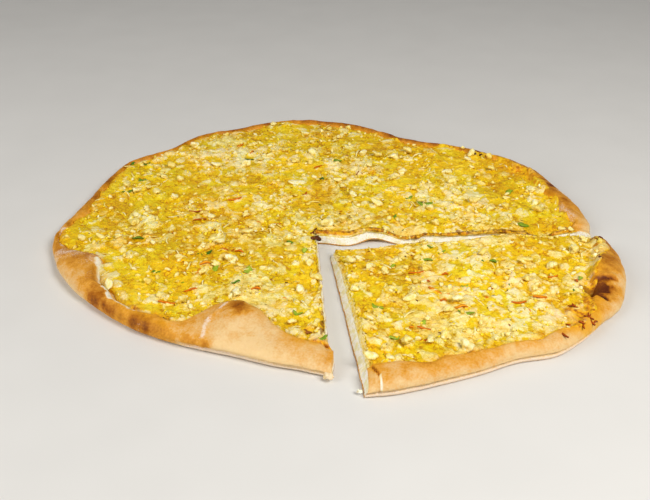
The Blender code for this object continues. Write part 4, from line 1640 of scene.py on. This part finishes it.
@dataclass
class Kind:
    """How the small pieces of one kind are made and laid."""

    shape: Callable
    count: int  # how many different shapes there are
    spacing: float  # the least distance between two, in millimetres, unless the sizes say otherwise
    cover: float  # the share of the places that are taken, unless the sizes say otherwise
    lengths: tuple  # the shortest and the longest, in millimetres
    proportions: tuple  # length, width and height as shares of the length
    lean: float  # how far each leans either way, in radians
    raised: float  # how far each stands out of the filling, as a share of its length
    seed: int  # what is added to the seed of the sizes
    where: str = "room"  # which value of the filling says where they may lie
    places: tuple = ()  # the ones that have places of their own
    thickness: float = 0.0  # of those, in millimetres
    sink: float = 0.0  # how far those lie in the filling
    tilt: float = 0.0  # how far those lean


LUMP = partial(ball, subdivisions=3, dents=0.45, grit=0.14)
CRUMB = partial(ball, subdivisions=2, dents=0.5, grit=0.1)
GRAIN = partial(ball, subdivisions=2, dents=0.4, grit=0.0)
FLECK = partial(ball, subdivisions=2, dents=0.5, grit=0.2)
SLIVER = partial(ribbon, bend=1.6, wave=0.8, point=0.6, steps=7)
SHRED = partial(ribbon, bend=0.6, wave=0.7, point=0.5, steps=5)
LEAF = partial(ribbon, bend=0.25, wave=1.4, point=0.85, steps=6, lanes=4)

KINDS = {
    "chicken_pieces": Kind(
        LUMP, 8, 9.5, 0.45, (4.2, 8.5), (1.0, 0.75, 0.55), 0.3, 0.22, 0,
        places=CHICKEN, thickness=3.4, sink=0.3, tilt=0.15,
    ),
    "chicken_crumbs": Kind(CRUMB, 8, 4.5, 0.42, (1.8, 4.2), (1.0, 0.75, 0.65), 0.4, 0.17, 10, "ledge"),
    "egg_grains": Kind(GRAIN, 5, 3.0, 0.25, (1.1, 2.6), (1.0, 0.8, 0.6), 0.5, 0.10, 20, "ledge"),
    "cheese_slivers": Kind(SLIVER, 9, 5.5, 0.5, (4.5, 11.0), (1.0, 0.12, 0.06), 0.10, -0.03, 30),
    "carrot_shreds": Kind(
        SHRED, 9, 15.0, 0.4, (2.2, 5.5), (1.0, 0.14, 0.10), 0.12, -0.05, 40,
        places=SHREDS + SCORCHED_SHREDS, thickness=0.7, sink=-0.35, tilt=0.08,
    ),
    "toasted_flecks": Kind(
        FLECK, 6, 9.5, 0.6, (0.7, 2.2), (1.0, 0.6, 0.4), 0.4, -0.05, 50,
        places=TOASTED_BITS, thickness=2.2, sink=0.2, tilt=0.3,
    ),
    "herb_leaves": Kind(
        LEAF, 7, 26.0, 0.4, (1.5, 3.8), (1.0, 0.45, 0.10), 0.2, -0.08, 60,
        places=HERBS, thickness=0.45, sink=-0.4, tilt=0.12,
    ),
}

WHOLE_PART = Sector(
    WHOLE, (0.0, 0.0), WHOLE_SEAM, WHOLE_SWELLINGS, WHOLE_BOWS, WHOLE_SLANTS, WHOLE_STIFFNESS, WHOLE_BAKE,
    WHOLE_SPILLS, lifts=WHOLE_LIFTS, flares=WHOLE_FLARES, hanging=HANGING, toasted_edge=0.75,
)
QUARTER_PART = Sector(
    QUARTER, SLICE_TIP, QUARTER_SEAM, QUARTER_SWELLINGS, QUARTER_BOWS, QUARTER_SLANTS, QUARTER_STIFFNESS,
    QUARTER_BAKE, QUARTER_SPILLS,
)


def colour(name, description, value):
    """A colour that a user can change, as linear red, green and blue."""
    facts = {"name": name, "description": description, "default": value}
    return FloatVectorProperty(subtype="COLOR", min=0, max=1, **facts)


def length(name, description, value):
    """A length that a user can change, in metres."""
    return FloatProperty(name=name, description=description, default=value, unit="LENGTH", min=0, precision=4)


def share(name, description, value):
    """A share from 0 to 1 that a user can change."""
    return FloatProperty(name=name, description=description, default=value, subtype="FACTOR", min=0, max=1)


class PieColours(bpy.types.PropertyGroup):
    raw_dough: colour("Raw dough", "Dough next to the filling, hardly browned", (0.82, 0.60, 0.31))
    pale_crust: colour("Pale crust", "Lightly baked crust", (0.77, 0.53, 0.25))
    golden_crust: colour("Golden crust", "Well baked crust", (0.68, 0.31, 0.035))
    brown_crust: colour("Brown crust", "Browned high spots", (0.38, 0.115, 0.003))
    burnt_crust: colour("Burnt crust", "The darkest spots", (0.085, 0.015, 0.003))
    crumb: colour("Crumb", "Inside of the dough at the cuts", (0.92, 0.89, 0.80))
    flour: colour("Flour", "Dry flour on the rim", (0.82, 0.68, 0.55))
    # The next two tones also stand for painted shade, where hollows and creases darken the layer's tone
    toasted_and_shaded_egg: colour("Toasted egg", "Hollows of the layer", (0.54, 0.24, 0.001))
    mustard: colour("Mustard", "Deep places of the melted layer", (0.76, 0.49, 0.002))
    egg_yellow: colour("Egg yellow", "Most of the melted layer", (0.86, 0.62, 0.006))
    bright_yellow: colour("Bright yellow", "Melted cheese", (0.94, 0.76, 0.05))
    chicken_shade: colour("Shaded chicken", "Sides and hollows of the chicken", (0.70, 0.47, 0.03))
    buttery: colour("Buttery chicken", "Chicken soaked with butter", (0.85, 0.65, 0.14))
    cream: colour("Cream", "Most of the chicken", (0.93, 0.79, 0.30))
    chicken: colour("White chicken", "The palest pieces", (0.98, 0.93, 0.64))
    scorched: colour("Scorched", "Browned edges of the layer", (0.28, 0.10, 0.006))


class PieSizes(bpy.types.PropertyGroup):
    seed: IntProperty(name="Seed", description="Start of every random draw", default=5, min=0)


def add_sizes(name, kind):
    """The spacing and the cover of one kind of small piece, as sizes that a user can change."""
    label = name.replace("_", " ")
    spacing = length(f"{label.capitalize()} spacing", f"Least distance between {label}", kind.spacing * MM)
    cover = share(f"{label.capitalize()} cover", f"How many of the places for {label} are taken", kind.cover)
    PieSizes.__annotations__[name + "_spacing"] = spacing
    PieSizes.__annotations__[name + "_cover"] = cover


for kind_name in KINDS:
    add_sizes(kind_name, KINDS[kind_name])


class PIE_OT_crusts(bpy.types.Operator):
    """Makes the dough of both parts: its sheet, its baked rim and the crumb at its cuts"""

    bl_idname = "pie.crusts"
    bl_label = "Bake the crusts"

    def execute(self, context):
        finish = dough_finish(context.scene.pie_colours)
        bake_crust(WHOLE_PART, CRUSTS[0], "crust_whole", finish)
        bake_crust(QUARTER_PART, CRUSTS[1], "crust_slice", finish)
        for torn in TORN_ENDS:
            torn_end(*torn, finish)
        return {"FINISHED"}


class PIE_OT_filling(bpy.types.Operator):
    """Spreads the baked layer of chicken, cheese and egg over both parts"""

    bl_idname = "pie.filling"
    bl_label = "Spread the filling"

    def execute(self, context):
        finish = filling_finish(context.scene.pie_colours)
        spread_filling(WHOLE_PART, BEDS[0], "filling_whole", finish)
        spread_filling(QUARTER_PART, BEDS[1], "filling_slice", finish)
        return {"FINISHED"}


class PIE_OT_chicken(bpy.types.Operator):
    """Lays pieces and crumbs of chicken and grains of egg on the filling"""

    bl_idname = "pie.chicken"
    bl_label = "Lay the chicken"

    def execute(self, context):
        sizes, colours = context.scene.pie_sizes, context.scene.pie_colours
        chicken, egg = chicken_stops(colours), egg_stops(colours)
        scatter("chicken_pieces", soft_piece("cooked_chicken", chicken, (0.28, 0.74), 0.34), sizes)
        scatter("chicken_crumbs", soft_piece("chicken_crumb", chicken, (0.10, 0.74), 0.34), sizes)
        scatter("egg_grains", soft_piece("egg_and_cheese", egg, (0.35, 1.0), 0.28), sizes)
        return {"FINISHED"}


class PIE_OT_strands(bpy.types.Operator):
    """Strews slivers of melted cheese and shreds of carrot"""

    bl_idname = "pie.strands"
    bl_label = "Strew the strands"

    def execute(self, context):
        sizes, colours = context.scene.pie_sizes, context.scene.pie_colours
        cheese = soft_piece("melted_cheese_strand", chicken_stops(colours), (0.20, 0.66), 0.28)
        scatter("cheese_slivers", cheese, sizes)
        carrot = piece_finish("baked_carrot", CARROT_TONES, (0.05, 1.0), 0.45, 0.3, Specular_IOR_Level=0.15)
        scatter("carrot_shreds", carrot, sizes)
        return {"FINISHED"}


class PIE_OT_specks(bpy.types.Operator):
    """Strews toasted flecks and herb leaves"""

    bl_idname = "pie.specks"
    bl_label = "Strew flecks and herbs"

    def execute(self, context):
        sizes = context.scene.pie_sizes
        toasted = piece_finish("toasted_fleck", FLECK_TONES, (0.0, 1.0), 0.5, 0.4, Specular_IOR_Level=0.2)
        scatter("toasted_flecks", toasted, sizes)
        herb = piece_finish("baked_herb", HERB_TONES, (0.0, 0.85), 0.42, 0.3, Specular_IOR_Level=0.2)
        scatter("herb_leaves", herb, sizes)
        return {"FINISHED"}


# The stage, in metres: the floor's half side and how far it lies below the pie, the lights as place, target,
# diameter, power and tint, and the camera of the photograph
FLOOR_REACH = 3.0
FLOOR_BELOW = 0.0003
FLOOR_TONES = ((0.70, 0.69, 0.67), (0.74, 0.73, 0.71))
LIGHTS = {
    "key": ((0.52, -0.58, 0.76), (0.02, -0.04, 0), 0.5, 8.8, (1.0, 0.98, 0.94)),
    "fill": ((-0.95, -0.55, 0.6), (0, 0, 0), 1.1, 9.4, (1.0, 0.985, 0.955)),
    "top": ((0.0, 0.65, 1.1), (0, 0, 0), 0.8, 1.1, (1.0, 1.0, 1.0)),
}
STUDIO_TINT = (1.0, 0.965, 0.92, 1)
STUDIO_STRENGTH = 0.17
CAMERA_PLACE = (-0.00362, -0.54226, 0.27558)
CAMERA_LOOKS_DOWN = 28.1
CAMERA_LENS = 53.3


def area_light(name, place, target, size, power, tint):
    """A soft studio light that faces its target."""
    lamp = bpy.data.lights.new(name, "AREA")
    lamp.shape = "DISK"
    lamp.size = size
    lamp.energy = power
    lamp.color = tint
    obj = bpy.data.objects.new(name, lamp)
    obj.location = place
    obj.rotation_euler = (Vector(target) - Vector(place)).to_track_quat("-Z", "Y").to_euler()
    bpy.context.scene.collection.objects.link(obj)


class PIE_OT_stage(bpy.types.Operator):
    """Sets up the floor, the lights and the camera"""

    bl_idname = "pie.stage"
    bl_label = "Set the stage"

    def execute(self, context):
        mesh = bmesh.new()
        bmesh.ops.create_grid(mesh, x_segments=1, y_segments=1, size=FLOOR_REACH)
        data = bpy.data.meshes.new("floor")
        mesh.to_mesh(data)
        mesh.free()
        data.transform(Matrix.Translation((0, 0, -FLOOR_BELOW)))
        floor = bpy.data.objects.new("floor", data)
        context.scene.collection.objects.link(floor)
        net = Finish("pale_floor")
        shade = net.mix(net.noise(60, 2), *FLOOR_TONES)
        data.materials.append(net.finish(shade, net.sum_of(0.62, (net.noise(30, 1), 0.25))))
        for name, facts in LIGHTS.items():
            area_light(name, *facts)
        world = bpy.data.worlds.new("studio")
        world.use_nodes = True
        background = world.node_tree.nodes["Background"].inputs
        background["Color"].default_value = STUDIO_TINT
        background["Strength"].default_value = STUDIO_STRENGTH
        context.scene.world = world
        context.scene.view_settings.view_transform = "Standard"
        view = bpy.data.cameras.new("photo_view")
        view.sensor_width = 36.0
        view.lens = CAMERA_LENS
        camera = bpy.data.objects.new("photo_view", view)
        camera.location = CAMERA_PLACE
        camera.rotation_euler = (math.radians(90 - CAMERA_LOOKS_DOWN), 0, 0)
        context.scene.collection.objects.link(camera)
        context.scene.camera = camera
        return {"FINISHED"}


class PIE_PT_panel(bpy.types.Panel):
    bl_idname = "PIE_PT_panel"
    bl_label = "Open chicken pie"
    bl_space_type = "VIEW_3D"
    bl_region_type = "UI"
    bl_category = "Pie"

    def draw(self, context):
        for step in STEPS:
            self.layout.operator(step.bl_idname)
        for group in (context.scene.pie_sizes, context.scene.pie_colours):
            box = self.layout.box()
            for label in group.bl_rna.properties.keys():
                if label not in ("rna_type", "name"):
                    box.prop(group, label)


STEPS = (PIE_OT_crusts, PIE_OT_filling, PIE_OT_chicken, PIE_OT_strands, PIE_OT_specks, PIE_OT_stage)
CLASSES = (PieColours, PieSizes, *STEPS, PIE_PT_panel)


def register():
    for cls in CLASSES:
        bpy.utils.register_class(cls)
    bpy.types.Scene.pie_colours = PointerProperty(type=PieColours)
    bpy.types.Scene.pie_sizes = PointerProperty(type=PieSizes)


def unregister():
    del bpy.types.Scene.pie_sizes
    del bpy.types.Scene.pie_colours
    for cls in reversed(CLASSES):
        bpy.utils.unregister_class(cls)


def main():
    register()
    bpy.ops.pie.crusts()
    bpy.ops.pie.filling()
    bpy.ops.pie.chicken()
    bpy.ops.pie.strands()
    bpy.ops.pie.specks()
    bpy.ops.pie.stage()


if __name__ == "__main__":
    main()
